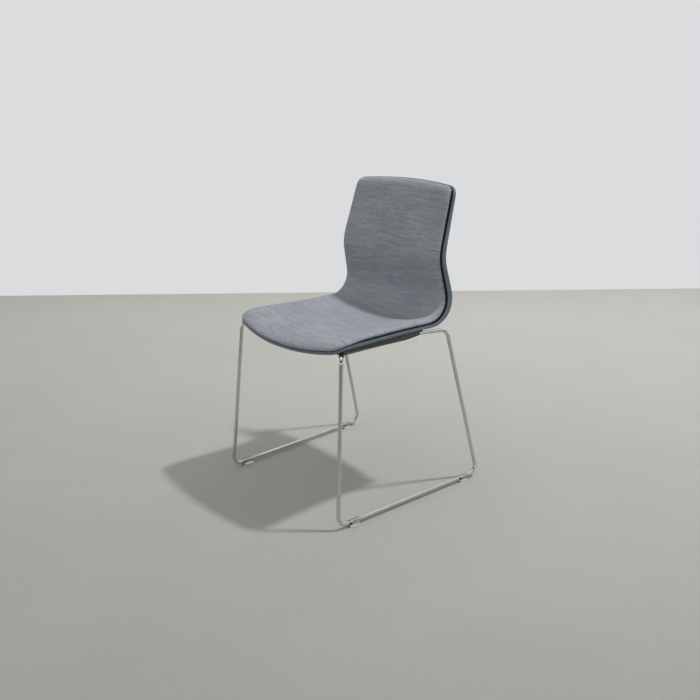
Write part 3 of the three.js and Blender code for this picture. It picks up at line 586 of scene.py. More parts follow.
# the profile's rows are (radius, height) or (radius, height, outline); a bored one closes on itself
def turnedMesh(name, profile, steps=40, bored=False):
    angles = np.arange(steps) * math.tau / steps
    points, faces, rings = [], [], []
    for radius, height, *kind in profile:
        if radius == 0:
            rings.append([len(points)])
            points.append((0, 0, height))
            continue
        reach = radius * (kind[0](angles) if kind else np.ones(steps))
        rings.append(list(range(len(points), len(points) + steps)))
        points += list(zip(reach * np.cos(angles), reach * np.sin(angles), np.full(steps, height)))
    pairs = list(zip(rings, rings[1:])) + ([(rings[-1], rings[0])] if bored else [])
    for low, high in pairs:
        for i in range(steps):
            j = (i + 1) % steps
            if len(low) == 1:
                faces.append((low[0], high[j], high[i]))
            elif len(high) == 1:
                faces.append((low[i], low[j], high[0]))
            else:
                faces.append((low[i], low[j], high[j], high[i]))
    return outwards(newMesh(name, [Vector(p) * mm for p in points], faces))


def outwards(mesh, middle=(0, 0, 0)):  # turns the faces of a closed mesh outside, seen from a place inside it
    middle = Vector(middle)
    volume = sum((polygon.center - middle).dot(polygon.normal) * polygon.area for polygon in mesh.polygons)
    if volume < 0:
        mesh.flip_normals()
    return mesh


def placed(mesh, place, axis=(0, 0, 1)):
    turn = Vector(axis).to_track_quat("Z", "Y").to_matrix().to_4x4()
    mesh.transform(Matrix.Translation(place) @ turn)
    return mesh


# geometry node trees

def newTree(name, sockets):
    tree = bpy.data.node_groups.new(name, "GeometryNodeTree")
    tree.interface.new_socket("Geometry", in_out="INPUT", socket_type="NodeSocketGeometry")
    for label, kind in sockets:
        tree.interface.new_socket(label, in_out="INPUT", socket_type=kind)
    tree.interface.new_socket("Geometry", in_out="OUTPUT", socket_type="NodeSocketGeometry")
    return NodeTree(tree)


def closeTree(nodes, geometry, material):
    real = nodes.add("GeometryNodeRealizeInstances", None, [geometry])
    painted = nodes.add("GeometryNodeSetMaterial", None, {"Geometry": real, "Material": material})
    output = nodes.tree.nodes.new("NodeGroupOutput")
    nodes.plug(painted, output.inputs[0])
    return nodes.tree


def rodTree():
    nodes = newTree("bent rod", [("Rod Radius", "NodeSocketFloat"), ("Bend Steps", "NodeSocketInt"),
                                 ("Sides", "NodeSocketInt"), ("Finish", "NodeSocketMaterial")])
    given = nodes.add("NodeGroupInput", None, (), "Geometry")
    path = nodes.add("GeometryNodeMeshToCurve", None, {"Mesh": given})
    bend = nodes.add("GeometryNodeInputNamedAttribute", {"data_type": "FLOAT"}, {"Name": "bendRadius"})
    bent = nodes.add("GeometryNodeFilletCurve", {"mode": "POLY"}, {
        "Curve": path, "Count": given.output("Bend Steps"), "Radius": bend})
    circle = nodes.add("GeometryNodeCurvePrimitiveCircle", None, {
        "Resolution": given.output("Sides"), "Radius": given.output("Rod Radius")})
    rod = nodes.add("GeometryNodeCurveToMesh", None, {"Curve": bent, "Profile Curve": circle})
    smooth = nodes.add("GeometryNodeSetShadeSmooth", None, {"Geometry": rod})
    return closeTree(nodes, smooth, given.output("Finish"))


def copiesTree():
    nodes = newTree("placed copies", [("Shape", "NodeSocketObject"), ("Finish", "NodeSocketMaterial")])
    given = nodes.add("NodeGroupInput", None, (), "Geometry")
    shape = nodes.add("GeometryNodeObjectInfo", {"transform_space": "ORIGINAL"},
                      {"Object": given.output("Shape")}, "Geometry")
    turn = nodes.add("GeometryNodeInputNamedAttribute", {"data_type": "FLOAT_VECTOR"}, {"Name": "turn"})
    points = nodes.add("GeometryNodeMeshToPoints", None, {"Mesh": given})
    copies = nodes.add("GeometryNodeInstanceOnPoints", None,
                       {"Points": points, "Instance": shape, "Rotation": turn})
    return closeTree(nodes, copies, given.output("Finish"))


def grown(source, tree, values):  # what a tree makes of a mesh, as a plain mesh
    holder = newObject("holder", source)
    modifier = holder.modifiers.new("nodes", "NODES")
    modifier.node_group = tree
    for item in tree.interface.items_tree:
        if item.item_type == "SOCKET" and item.in_out == "INPUT" and item.name in values:
            modifier[item.identifier] = values[item.name]
    graph = bpy.context.evaluated_depsgraph_get()
    result = bpy.data.meshes.new_from_object(holder.evaluated_get(graph), depsgraph=graph)
    holder.modifiers.clear()
    bpy.data.objects.remove(holder)
    return result


def pointMesh(places, edges=(), **attributes):
    mesh = newMesh("places", [Vector(p) for p in places], [], edges)
    for name, values in attributes.items():
        wide = np.ndim(values) == 2
        layer = mesh.attributes.new(name, "FLOAT_VECTOR" if wide else "FLOAT", "POINT")
        layer.data.foreach_set("vector" if wide else "value", np.array(values, np.float32).ravel())
    return mesh


rods, copies = rodTree(), copiesTree()


def placeCopies(name, shape, places, turns, material, stands, degrees=35):
    model = newObject("model", shape)
    mesh = grown(pointMesh(places, turn=turns), copies, {"Shape": model, "Finish": material})
    bpy.data.objects.remove(model)
    piece = addPiece(name, mesh, material, stands)
    sharpAt(piece.data, degrees)
    return piece


# shell

shellLook = {
    "wall": 3.5, "lipWidth": 3.0, "lipHeight": 1.7, "lipRound": 1.0, "innerRound": 0.7,
    "seatRim": 7.5, "backRim": 10.1, "hipSwell": 3.2, "hipReach": 90.0, "hipLag": 50.0, "topTaper": 2.8,
    "changeLead": 62.0, "changeLength": 124.0,  # where the rim goes over from the seat's depth to the back's
    "flangeWidth": 3.2, "flangeFoot": 4.6, "flangeRound": 0.5,
    "footRound": 0.9, "bossRadius": 8.0, "bossFlare": 1.0, "bossSink": 1.5, "socketRadius": 4.5,
    "socketBelow": 1.0, "socketAbove": 0.3, "clipHoleRadius": 3.3, "clipHole": (-30.0, 16.0),
}
faceLevel = -shellLook["lipHeight"]
underLevel = faceLevel - shellLook["wall"]
fineSheet = FaceSheet(42, 150)


def easedShare(p):
    p = np.clip(p, 0, 1)
    return p * p * (3 - 2 * p)


def rimDepth(s):
    look = shellLook
    change = easedShare((s - hipS + look["changeLead"]) / look["changeLength"])
    swell = look["hipSwell"] * np.exp(-(((s - hipS - look["hipLag"]) / look["hipReach"]) ** 2))
    taper = look["topTaper"] * easedShare((s - lumbarS) / (faceLength - lumbarS))
    return look["seatRim"] + (look["backRim"] - look["seatRim"]) * change + swell - taper


def arc(centre, radius, start, end, steps):  # (inset, offset) pairs round a rounded edge
    angles = np.radians(np.linspace(start, end, steps + 1))
    return [(centre[0] - radius * math.cos(a), centre[1] + radius * math.sin(a)) for a in angles]


def shellSection():
    look = shellLook
    lipRound, inner, foot, flange = look["lipRound"], look["innerRound"], look["footRound"], look["flangeRound"]
    lip = arc((look["lipWidth"] - inner, -inner), inner, 180, 90, 3)
    lip += arc((lipRound, -lipRound), lipRound, 90, 0, 4)
    hanging = arc((foot, foot), foot, 0, -90, 3)
    hanging += arc((look["flangeWidth"] - flange, flange), flange, -90, -170, 2)
    below = [(inset, lambda s, up=up: up - rimDepth(s)) for inset, up in hanging]
    # the two inner corners are rounded too, in steps of (further in, higher or lower)
    top = [(inset, faceLevel) for inset in (gridInset, 14.0, 8.0)]
    top += [(look["lipWidth"] + further, faceLevel + higher)
            for further, higher in ((1.4, 0), (0.5, 0.1), (0.1, 0.4))]
    under = [(look["flangeFoot"] + further, underLevel - lower)
             for further, lower in ((-0.3, 1.2), (0, 0.5), (0.6, 0.1), (1.4, 0))]
    return top + lip + below + under + [(12.0, underLevel), (gridInset, underLevel)]


def faceAxis(x, s):
    low, high = facePoints(np.array([x, x]), np.array([s, s]), np.array([0.0, 1.0]))
    return Vector(high - low).normalized()


def stationAt(y):  # how far along the seat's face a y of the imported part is
    seat = sideS < hipS
    return float(np.interp(y, sideView[seat, 0] + frameShift, sideS[seat]))


def pinMesh(radius, low, high, foot=None):  # foot is the radius at the low end, where it is another one
    return turnedMesh("pin", [(0, low), (foot or radius, low), (radius, high), (0, high)], 48)


def clipSeat(end, height):  # where a clip stands on the face, and the way it points
    centre = nodeCentre("pad_clip_" + end)
    x, s = centre.x / mm, stationAt(centre.y / mm)
    return Vector(facePoint(x, s, height)) * mm, faceAxis(x, s)


ends = [f"{end}_{side}" for end in ("front", "rear") for side in ("left", "right")]
bosses, sockets, clipHoles = [], [], []
for end in ends:
    low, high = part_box("shell_insert_" + end)
    centre = nodeCentre("shell_insert_" + end)
    spot = (centre.x, centre.y, 0)
    bossTop = facePoint(centre.x / mm, stationAt(centre.y / mm), underLevel + shellLook["bossSink"])[2]
    bosses.append(placed(pinMesh(shellLook["bossRadius"] + shellLook["bossFlare"], low.z / mm, bossTop,
                                 shellLook["bossRadius"]), spot))
    sockets.append(placed(pinMesh(shellLook["socketRadius"], low.z / mm - shellLook["socketBelow"],
                                  high.z / mm + shellLook["socketAbove"]), spot))
    clipHoles.append(placed(pinMesh(shellLook["clipHoleRadius"], *shellLook["clipHole"]),
                            nodeCentre("pad_clip_" + end), clipSeat(end, 0.0)[1]))
shellMesh = fineSheet.mesh("seatShell", shellSection())
shellMesh = cut(shellMesh, bosses, "UNION")
shellMesh = cut(shellMesh, sockets + clipHoles, "DIFFERENCE")
seatShell = addPiece("seatShell", sharpAt(shellMesh, 40), shellPlastic, ["shell"])
print("shell moulded:", len(seatShell.data.polygons), "faces")


# pad: liner, foam and the fabric drawn over them

padLook = {
    # partly painted shade: the liner's own black edge reaches out to linerInset, into the groove between the shell's
    # lip and the cover, so the groove's shade reads black
    "linerInset": 4.6, "linerLow": -0.3, "linerHigh": 1.7, "linerRound": 0.5, "linerFlat": 10.0,
    "hemLow": 2.0, "coverThickness": 1.2, "coverInset": 5.9, "crown": 14.2, "belly": 6.6, "shoulder": 15.0,
    "frontInset": 0.4, "frontBelly": 3.2, "frontShoulder": 20.5, "frontEdge": 0.14, "frontRound": 0.38,
    "frontHold": 46.0, "frontFade": 80.0,
    "topInset": 2.4, "topBelly": 2.8, "topShoulder": 18.5, "topHold": 12.0, "topFade": 24.0,
    "hollowDepth": 6.5, "hollowLead": 52.0, "hollowReach": 80.0,
    "foamGap": 1.0, "foamLow": 0.3, "foamRise": 1.2, "pocketRadius": 8.6, "pocket": (-1.0, 2.1),
    "swellLimit": 1.4, "swellPasses": 12, "frames": 20,
}
clothLook = {
    "quality": 6, "mass": 0.3, "tension_stiffness": 60, "compression_stiffness": 60, "shear_stiffness": 25,
    "bending_stiffness": 4, "use_pressure": True, "uniform_pressure_force": 4.0, "vertex_group_mass": "held",
}


def padValue(side, front=None, top=None):  # a length that changes at the two ends of the pad
    look = padLook
    front, top = side if front is None else front, side if top is None else top

    def at(s):
        frontShare = easedShare(1 - (s - look["frontHold"]) / look["frontFade"])
        topShare = easedShare(1 - (faceLength - look["topHold"] - s) / look["topFade"])
        return side + (front - side) * frontShare + (top - side) * topShare

    return at


padEdge = padValue(padLook["coverInset"], padLook["frontInset"], padLook["topInset"])
padBelly = padValue(padLook["belly"], padLook["frontBelly"], padLook["topBelly"])
padShoulder = padValue(padLook["shoulder"], padLook["frontShoulder"], padLook["topShoulder"])


def padHollow(x, s):  # the pad is thinner in the middle of the seat, just before the bend
    look = padLook
    across = np.clip(1 - (x / (halfWidth(s) - gridInset)) ** 2, 0, 1)
    along = np.exp(-(((s - hipS + look["hollowLead"]) / look["hollowReach"]) ** 2))
    return look["hollowDepth"] * across ** 1.5 * along


# from the crown down to the pad's edge, round at the sides and the top, sloped at the front
def shoulderArc(skin, lowest, steps):
    look, rows = padLook, []

    def heightBetween(share):  # share of the way from the pad's edge up to its crown
        def at(s):
            low = np.maximum(padBelly(s), lowest)
            return low + (look["crown"] - skin - low) * share(s)
        return at

    for angle in np.linspace(math.pi / 2, 0, steps + 1):
        reach = 1 - math.cos(angle)
        edge = min(reach / look["frontEdge"], 1)
        sloped = (look["frontRound"] * math.sqrt(2 * edge - edge * edge)
                  + (1 - look["frontRound"]) * math.sin(reach * math.pi / 2))
        rows.append((lambda s, reach=reach: padEdge(s) + skin + (padShoulder(s) - skin) * reach,
                     heightBetween(padValue(math.sin(angle), sloped))))
    return rows


def linerMesh():
    look = padLook
    edge, low, high, turn = look["linerInset"], look["linerLow"], look["linerHigh"], look["linerRound"]
    section = [(gridInset, high), (look["linerFlat"], high), (edge + turn, high), (edge, high - turn),
               (edge, low + turn), (edge + turn, low), (look["linerFlat"], low), (gridInset, low)]
    return cut(fineSheet.mesh("padLiner", section), clipHoles, "DIFFERENCE")


def foamMesh():
    look = padLook
    skin = look["coverThickness"] + look["foamGap"]
    low = look["hemLow"] + look["coverThickness"] + look["foamLow"]
    section = [(gridInset, look["crown"] - skin)] + shoulderArc(skin, low + look["foamRise"], 7)
    for further, higher in ((0.5, 0.4), (1.8, 0.0)):
        section.append((lambda s, further=further: padEdge(s) + skin + further, low + higher))
    pockets = [placed(pinMesh(look["pocketRadius"], *look["pocket"]), *clipSeat(end, look["linerHigh"]))
               for end in ends]
    return cut(fineSheet.mesh("padFoam", section + [(gridInset, low)], hollow=padHollow), pockets, "DIFFERENCE")


def coverSection():
    look = padLook
    low = look["hemLow"]
    rows = shoulderArc(0.0, 0.0, 8)
    # further in, height at the sides, height at the front and top
    under = ((0.35, 4.9, 2.8), (1.3, 3.3, 1.5), (2.9, low + 0.15, 1.0), (5.5, low, 1.5), (9.5, low, low),
             (14.0, low, low))
    turned = [(lambda s, reach=reach: padEdge(s) + reach, padValue(sideHeight, endHeight, endHeight))
              for reach, sideHeight, endHeight in under]
    return [(gridInset, look["crown"])] + rows + turned, len(rows) + 1


def vertexValues(mesh, name):
    values = np.zeros(len(mesh.vertices) * 3)
    mesh.vertices.foreach_get(name, values)
    return values.reshape(-1, 3)


def blownUp(mesh, pinned):  # where the cloth simulation leaves the corners of the mesh
    bag = newObject("bag", mesh.copy())
    held = bag.vertex_groups.new(name="held")
    held.add([int(i) for i in pinned], 1.0, "REPLACE")
    cloth = bag.modifiers.new("Cloth", "CLOTH")
    for key, value in clothLook.items():
        setattr(cloth.settings, key, value)
    cloth.settings.effector_weights.gravity = 0
    cloth.collision_settings.use_collision = False
    cloth.point_cache.frame_start, cloth.point_cache.frame_end = 1, padLook["frames"]
    scene = bpy.context.scene
    for step in range(1, padLook["frames"] + 1):
        scene.frame_set(step)
    places = vertexValues(bag.evaluated_get(bpy.context.evaluated_depsgraph_get()).data, "co")
    scene.frame_set(1)
    bpy.data.objects.remove(bag)
    return places


def inflated(mesh, pinned):  # the cover swells as its foam pushes it out, its hem held
    rest, normals = vertexValues(mesh, "co"), vertexValues(mesh, "normal")
    rise = np.maximum(((blownUp(mesh, pinned) - rest) * normals).sum(1), 0)  # outward only, the foam holds it up
    limit = padLook["swellLimit"] * mm
    kept = limit * np.tanh(rise / limit)
    ends = np.zeros(len(mesh.edges) * 2, dtype=np.int32)
    mesh.edges.foreach_get("vertices", ends)
    first, second = ends.reshape(-1, 2).T
    neighbours = np.bincount(ends, minlength=len(rest))
    for turn in range(padLook["swellPasses"]):  # evened out, so no wrinkle of the simulation stays
        near = np.bincount(first, kept[second], len(rest)) + np.bincount(second, kept[first], len(rest))
        kept = (kept + near / neighbours) / 2
        kept[pinned] = 0
    print(f"cover swells {rise.mean() / mm:.2f} mm on average, {rise.max() / mm:.2f} at most,",
          f"held to {kept.max() / mm:.2f}")
    rest += normals * kept[:, None]
    mesh.vertices.foreach_set("co", rest.ravel())
    mesh.update()
    return mesh


coarseSheet = FaceSheet(26, 96)
addPiece("padLiner", sharpAt(linerMesh(), 50), linerBoardAndGrooveShade, ["pad_liner"])
foamCore = addPiece("padFoam", sharpAt(foamMesh(), 50), foam, ["pad_foam"])
section, loopsFree = coverSection()
coverMesh = coarseSheet.mesh("padCover", section, closed=False, hollow=padHollow)
hemPoints = range((loopsFree + 1) * coarseSheet.count, len(section) * coarseSheet.count)
coverMesh = inflated(coverMesh, hemPoints)
coverMesh = withModifiers(
    coverMesh, ("SOLIDIFY", {"thickness": padLook["coverThickness"] * mm, "offset": -1, "use_even_offset": True}),
    ("SUBSURF", {"levels": 1, "render_levels": 1}))
padCover = addPiece("padCover", coverMesh, fabric, ["fabric_cover"])
for side in ("left", "right"):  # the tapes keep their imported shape
    tapeFinishes = cadNodes["pad_tape_" + side].data.materials
    tapeFinishes.clear()
    tapeFinishes.append(hookTape)
print("pad dressed:", len(coverMesh.polygons), "faces on the cover")


# rod frame

frameLook = {
    "corners": ((233.3, -241.2, 10.0), (208.1, -202.8, 435.7), (127.0, -134.0, 429.5),
                (223.9, 133.9, 434.4), (249.1, 241.6, 10.0)),
    "bends": (25.0, 25.0, 40.0, 25.0, 25.0),
    "rodRadius": 5.0, "bendSteps": 20, "sides": 36,
    "sleeveStart": 0.42, "sleeveInner": 5.15, "sleeveOuter": 5.8, "sleeveRound": 0.3, "sleeveSteps": 24,
}


def frameCorner(corner, side):
    x, y, z = corner
    return Vector((side * x, y + frameShift, z)) * mm


def sleeveMesh(side):  # a thin tube round the last part of the bend at the top of the front leg
    look, radius, sides = frameLook, frameLook["bends"][1] * mm, frameLook["sides"]
    centre, spoke, back, half = bendAt(*(frameCorner(corner, side) for corner in look["corners"][:3]), radius)
    turns = np.linspace(look["sleeveStart"], 1, look["sleeveSteps"] + 1) * (math.pi - 2 * half)
    inner, outer, lip = (look[key] * mm for key in ("sleeveInner", "sleeveOuter", "sleeveRound"))
    between = range(1, look["sleeveSteps"])
    # (station, distance from the rod's middle, shift along the rod), out along the outside and back inside
    rows = [(0, inner + lip, 0), (0, outer - lip, 0), (0, outer, lip)] + [(k, outer, 0) for k in between]
    rows += [(-1, outer, -lip), (-1, outer - lip, 0), (-1, inner + lip, 0), (-1, inner, -lip)]
    rows += [(k, inner, 0) for k in between[::-1]] + [(0, inner, lip)]
    points, faces, across = [], [], np.array((1.0, 0.0, 0.0))
    angles = math.tau * np.arange(sides)[:, None] / sides
    for row, (k, reach, shift) in enumerate(rows):
        place = centre + radius * (spoke * math.cos(turns[k]) - back * math.sin(turns[k]))
        along = -back * math.cos(turns[k]) - spoke * math.sin(turns[k])
        first = unit(across - along * (across @ along))
        second = np.cross(along, first)
        points += list(place + along * shift + reach * (first * np.cos(angles) + second * np.sin(angles)))
        faces += band(row * sides, (row + 1) % len(rows) * sides, sides)
    middle = turns[len(turns) // 2]
    inside = centre + radius * (spoke * math.cos(middle) - back * math.sin(middle))
    return outwards(newMesh("legSleeve", points, faces), inside)


for side, sideName in ((1, "left"), (-1, "right")):
    corners = [frameCorner(corner, side) for corner in frameLook["corners"]]
    path = pointMesh(corners, [(k, (k + 1) % 5) for k in range(5)],
                     bendRadius=[bend * mm for bend in frameLook["bends"]])
    loop = outwards(grown(path, rods, {
        "Rod Radius": frameLook["rodRadius"] * mm, "Bend Steps": frameLook["bendSteps"],
        "Sides": frameLook["sides"], "Finish": chrome}), sum(corners, Vector()) / 5)
    addPiece("sideFrame" + sideName.title(), loop, chrome, ["side_frame_" + sideName])
    addPiece("legSleeve" + sideName.title(), sharpAt(sleeveMesh(side), 50), sleeveRubber,
             ["leg_sleeve_" + sideName])
print("rod frame bent")


# plates and tray, from the imported solids, the plates with their edges broken

def refined(nodeName, pieceName, bevelWidth, material, degrees=32):
    mesh = cadNodes[nodeName].data.copy()
    mesh.name = pieceName
    merged = withModifiers(mesh, ("WELD", {"merge_threshold": 0.02 * mm}),
                           ("DECIMATE", {"decimate_type": "DISSOLVE", "angle_limit": math.radians(0.6)}))
    if bevelWidth:
        merged = withModifiers(merged, ("BEVEL", {"width": bevelWidth * mm, "segments": 2, "limit_method": "ANGLE",
                                                  "angle_limit": math.radians(40), "miter_outer": "MITER_ARC"}))
    addPiece(pieceName, sharpAt(merged, degrees), material, [nodeName])


refined("front_cross_plate", "frontCrossPlate", 0.5, zinc)
refined("rear_cross_plate", "rearCrossPlate", 0.5, zinc)
refined("seat_tray", "seatTray", 0, trayPlastic, 28)
print("plates and tray ready")


# screws, washers, inserts and clips

def hexagon(angles):
    return math.cos(math.pi / 6) / np.cos(np.mod(angles, math.pi / 3) - math.pi / 6)


def cross(angles):  # outline of a cross recess, its arms along X and Y
    arm = np.maximum(np.abs(np.cos(angles)), np.abs(np.sin(angles)))
    return 0.36 + 0.64 * np.clip((arm - 0.8) / 0.17, 0, 1) ** 1.5


def knurled(angles):
    return 1 - 0.035 * (1 + np.cos(angles * 24)) / 2


def threaded(low, high, pitch, outer, inner):
    rows, height = [], low
    while height + pitch < high:
        rows += [(inner, height), (outer, height + pitch * 0.4), (outer, height + pitch * 0.6),
                 (inner, height + pitch)]
        height += pitch
    return rows


# rows of (radius, height); the clip stands on the liner, head up, and its shank goes down through the shell
profiles = {
    "shellScrew": [(0, 2.0), (2.0, 2.0, hexagon), (2.0, 0.3, hexagon), (2.3, 0), (3.4, 0.05), (4.5, 0.5),
                   (5.15, 1.3), (5.4, 2.2), (5.4, 3.05), (5.3, 3.2), (2.8, 3.2), (2.8, 5.0),
                   *threaded(5.2, 14.0, 0.8, 2.75, 2.4), (1.9, 15.1), (0, 15.2)],
    "shellWasher": [(3.1, 0.15), (3.25, 0), (6.85, 0), (7, 0.15), (7, 1.25), (6.85, 1.4), (3.25, 1.4), (3.1, 1.25)],
    "shellInsert": [(3.1, 0.2), (3.3, 0), (4.0, 0), (4.2, 0.2, knurled), (4.2, 2.3, knurled), (3.9, 2.5),
                    (3.9, 4.5), (4.2, 4.7, knurled), (4.2, 6.8, knurled), (4.0, 7), (3.3, 7), (3.1, 6.8)],
    "trayScrewHead": [(0, 1.0), (0.9, 1.0, cross), (2.2, 0.02, cross), (2.6, 0), (3.6, 0.02), (3.7, 0.15),
                      (1.75, 2.1), (1.7, 2.6)],
    "padClip": [(0, 1.5), (6.8, 1.5), (7.7, 1.25), (8, 0.9), (7.8, 0.35), (7.4, 0.3), (3.4, 0.3), (3.0, 0.0),
                (3.0, -7.6), (3.15, -7.8), (4.2, -7.8), (4.2, -8.8), (3.3, -10.6), (1.7, -12.7), (1.2, -12.8),
                (0, -12.8)],
}


def upright(*degrees):  # turns about Z
    return [(0.0, 0.0, math.radians(angle)) for angle in degrees]


def bottoms(names):
    return [Vector((nodeCentre(name).x, nodeCentre(name).y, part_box(name)[0].z)) for name in names]


for kind, steps, turns, material, slotName in (
        ("Screw", 48, upright(12, 47, 31, 5), zinc, "steel"), ("Washer", 48, upright(0, 0, 0, 0), zinc, "steel"),
        ("Insert", 96, upright(0, 0, 0, 0), brass, "brass")):
    shape = turnedMesh("shell" + kind, profiles["shell" + kind], steps, bored=kind != "Screw")
    names = [f"shell_{kind.lower()}_{end}" for end in ends]
    placeCopies(f"shell{kind}s", shape, bottoms(names), turns, material, names)
for end in ("front", "rear"):
    names = [f"tray_screw_{end}_{side}" for side in ("left", "right")]
    low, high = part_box(names[0])
    length = (high.z - low.z) / mm
    thread = threaded(2.8, length - 1.9, 0.7, 1.7, 1.35) + [(1.2, length - 1.2), (0, length)]
    placeCopies("trayScrews" + end.title(), turnedMesh("trayScrew", profiles["trayScrewHead"] + thread, 64),
                bottoms(names), upright(22, 64), zinc, names)
clipPlaces, clipAxes = zip(*(clipSeat(end, padLook["linerHigh"]) for end in ends))
clipTurns = [tuple(axis.to_track_quat("Z", "Y").to_euler()) for axis in clipAxes]
placeCopies("padClips", turnedMesh("padClip", profiles["padClip"]), clipPlaces, clipTurns, clipNylon,
            ["pad_clip_" + end for end in ends])
print("small hardware placed")


# clear glides under the runners

glideLook = {"length": 36.0, "grip": 5.3, "wall": 1.6, "halfWidth": 6.2, "axisHeight": 10.0, "mouth": 50.0,
             "cheek": -35.0, "edge": 0.7, "soleRound": 1.2}


def glideSection():  # (across, up) from the rod's middle, round the whole section
    look = glideLook
    outer, tip, r = look["grip"] + look["wall"], look["wall"] / 2, look["soleRound"]
    low, wide = -look["axisHeight"], look["halfWidth"] - look["soleRound"]
    lipAngle = math.pi / 2 - math.radians(look["mouth"])

    def arcPoints(radius, angles, middle=(0, 0)):
        return [(middle[0] + radius * math.cos(a), middle[1] + radius * math.sin(a)) for a in angles]

    lipMiddle = arcPoints(look["grip"] + tip, [lipAngle])[0]
    half = [(0.0, low), (wide, low)] + arcPoints(r, np.linspace(-math.pi / 2, 0, 5)[1:], (wide, low + r))
    half += arcPoints(outer, np.linspace(math.radians(look["cheek"]), lipAngle, 14))
    half += arcPoints(tip, lipAngle + np.linspace(0, math.pi, 7)[1:-1], lipMiddle)
    half += arcPoints(look["grip"], np.linspace(lipAngle, -math.pi / 2, 22))
    middleOut = 1e-6
    mirrored = [(-x, z) for x, z in half[::-1] if x > middleOut]
    return np.array([point for point in half if point[0] > -middleOut] + mirrored)


def glideMesh():
    section = glideSection()
    ahead = np.roll(section, -1, axis=0) - np.roll(section, 1, axis=0)
    normal = np.stack([ahead[:, 1], -ahead[:, 0]], 1) / np.maximum(np.linalg.norm(ahead, axis=1), 1e-9)[:, None]
    end, edge = glideLook["length"] / 2, glideLook["edge"]
    half = [(end - edge, 0), (end - 0.3 * edge, 0.3 * edge), (end, edge)]  # (along the runner, inset)
    stations = [(-y, inset) for y, inset in half[::-1]] + half
    points, count, last = [], len(section), len(stations) - 1
    for y, inset in stations:
        points += [(x * mm, y * mm, z * mm) for x, z in section - normal * inset]
    faces = [list(range(count))[::-1], [last * count + i for i in range(count)]]
    for k in range(last):
        faces += band(k * count, (k + 1) * count, count)
    return outwards(newMesh("glide", points, faces))


glideNames = [f"glide_{end}" for end in ends]
glidePlaces, glideTurns = [], []
for name in glideNames:
    centre = nodeCentre(name)
    side = 1 if centre.x > 0 else -1
    first, last = (frameCorner(frameLook["corners"][k], side) for k in (0, 4))
    along = last - first
    glidePlaces.append(Vector((centre.x, centre.y, first.z)))
    glideTurns.append((0.0, 0.0, math.atan2(along.y, along.x) - math.pi / 2))
placeCopies("runnerGlides", glideMesh(), glidePlaces, glideTurns, clearPlastic, glideNames, 40)
print("glides placed")


# room, light and camera

roomLook = {
    # the floor's two falloff rates paint a slope of light across the floor
    "floorTone": "b1b0ab", "floorPaintedFalloffX": 0.136, "floorPaintedFalloffY": 0.115, "wallTone": "dbdcdd", "wallDistance": 4.24,
    "reach": 9.0, "wallHeight": 5.0, "worldTone": "e2e3e3", "worldLight": 0.825, "brightSide": "ffffff",
    "dimSide": "c9c9c9", "ceilingTone": "4a4b4b", "panelTone": "ffffff",
    "ceilingStops": ((0.0, "ffffff"), (0.08, "ffffff"), (0.18, "000000"), (0.45, "000000"), (0.64, "ffffff")),
    "lampHeight": 4.13, "lampAzimuth": 141.0, "lampElevation": 67.05, "lampSize": 0.27, "lampPower": 96.0,
    "lampAim": (0.0, 0.0, 0.3),
}
cameraLook = {"place": (1.5984, -1.3450, 1.0148), "azimuth": 49.90104, "elevation": 17.51615, "roll": -0.61066,
              "lens": 41.976, "sensor": 36.0, "clip": (0.05, 60.0)}


def seenDirectly(nodes):  # 1 for what the camera, a mirror or glass sees, 0 for the light it gives
    ray = nodes.add("ShaderNodeLightPath")
    seen = ray.output("Is Camera Ray") + ray.output("Is Glossy Ray") + ray.output("Is Transmission Ray")
    return nodes.maths("MINIMUM", seen, 1.0)


def floorMaterial():
    material, nodes, feed, place = newMaterial("pale floor", {"Specular IOR Level": 0.2, "Roughness": 0.7})
    cloud = nodes.noise(place, 2.2, detail=4.0, roughness=0.6)
    speck = nodes.noise(place, 60.0, detail=3.0, roughness=0.7)
    shade = nodes.remap(cloud * 0.6 + speck * 0.4, 0.3, 0.7, 0.97, 1.03)
    # painted light: the floor's tone is lighter towards +Y and -X and darker towards -Y and +X, a painted falloff of
    # the lamp's light
    parts = nodes.add("ShaderNodeSeparateXYZ", None, [place])
    paintedFalloff = parts.output("Y") * roomLook["floorPaintedFalloffY"] - parts.output("X") * roomLook["floorPaintedFalloffX"] + 1.0
    held = nodes.add("ShaderNodeClamp", None, {"Value": paintedFalloff, "Min": 0.75, "Max": 1.3})
    feed(baseColor=nodes.scaled(tone(roomLook["floorTone"])[:3], shade * held))
    return material


def wallMaterial():
    material = bpy.data.materials.new("pale wall")
    material.use_nodes = True
    nodes = NodeTree(material.node_tree)
    nodes.tree.nodes.clear()
    plain = nodes.add("ShaderNodeBsdfDiffuse", None, {"Color": tone(roomLook["wallTone"])})
    shown = nodes.add("ShaderNodeEmission", None, {"Color": tone(roomLook["wallTone"]), "Strength": 1.0})
    mixed = nodes.add("ShaderNodeMixShader", None, [seenDirectly(nodes), plain, shown])
    output = nodes.tree.nodes.new("ShaderNodeOutputMaterial")
    nodes.plug(mixed, output.inputs["Surface"])
    return material


def stagePlane(name, corners, material):
    plane = newObject(name, newMesh(name, corners, [(0, 1, 2, 3)]))
    plane.data.materials.append(material)


azimuth, elevation, roll = (math.radians(cameraLook[turn]) for turn in ("azimuth", "elevation", "roll"))
away = Vector((-math.sin(azimuth), math.cos(azimuth), 0))
right = Vector((math.cos(azimuth), math.sin(azimuth), 0))
reach = roomLook["reach"]
wallFoot = Vector((*cameraLook["place"][:2], 0)) + away * roomLook["wallDistance"]
wallTop = wallFoot + Vector((0, 0, roomLook["wallHeight"]))
stagePlane("floor", [(-reach, -reach, 0), (reach, -reach, 0), (reach, reach, 0), (-reach, reach, 0)],
           floorMaterial())
stagePlane("wall", [wallFoot - right * reach, wallFoot + right * reach, wallTop + right * reach,
                    wallTop - right * reach], wallMaterial())

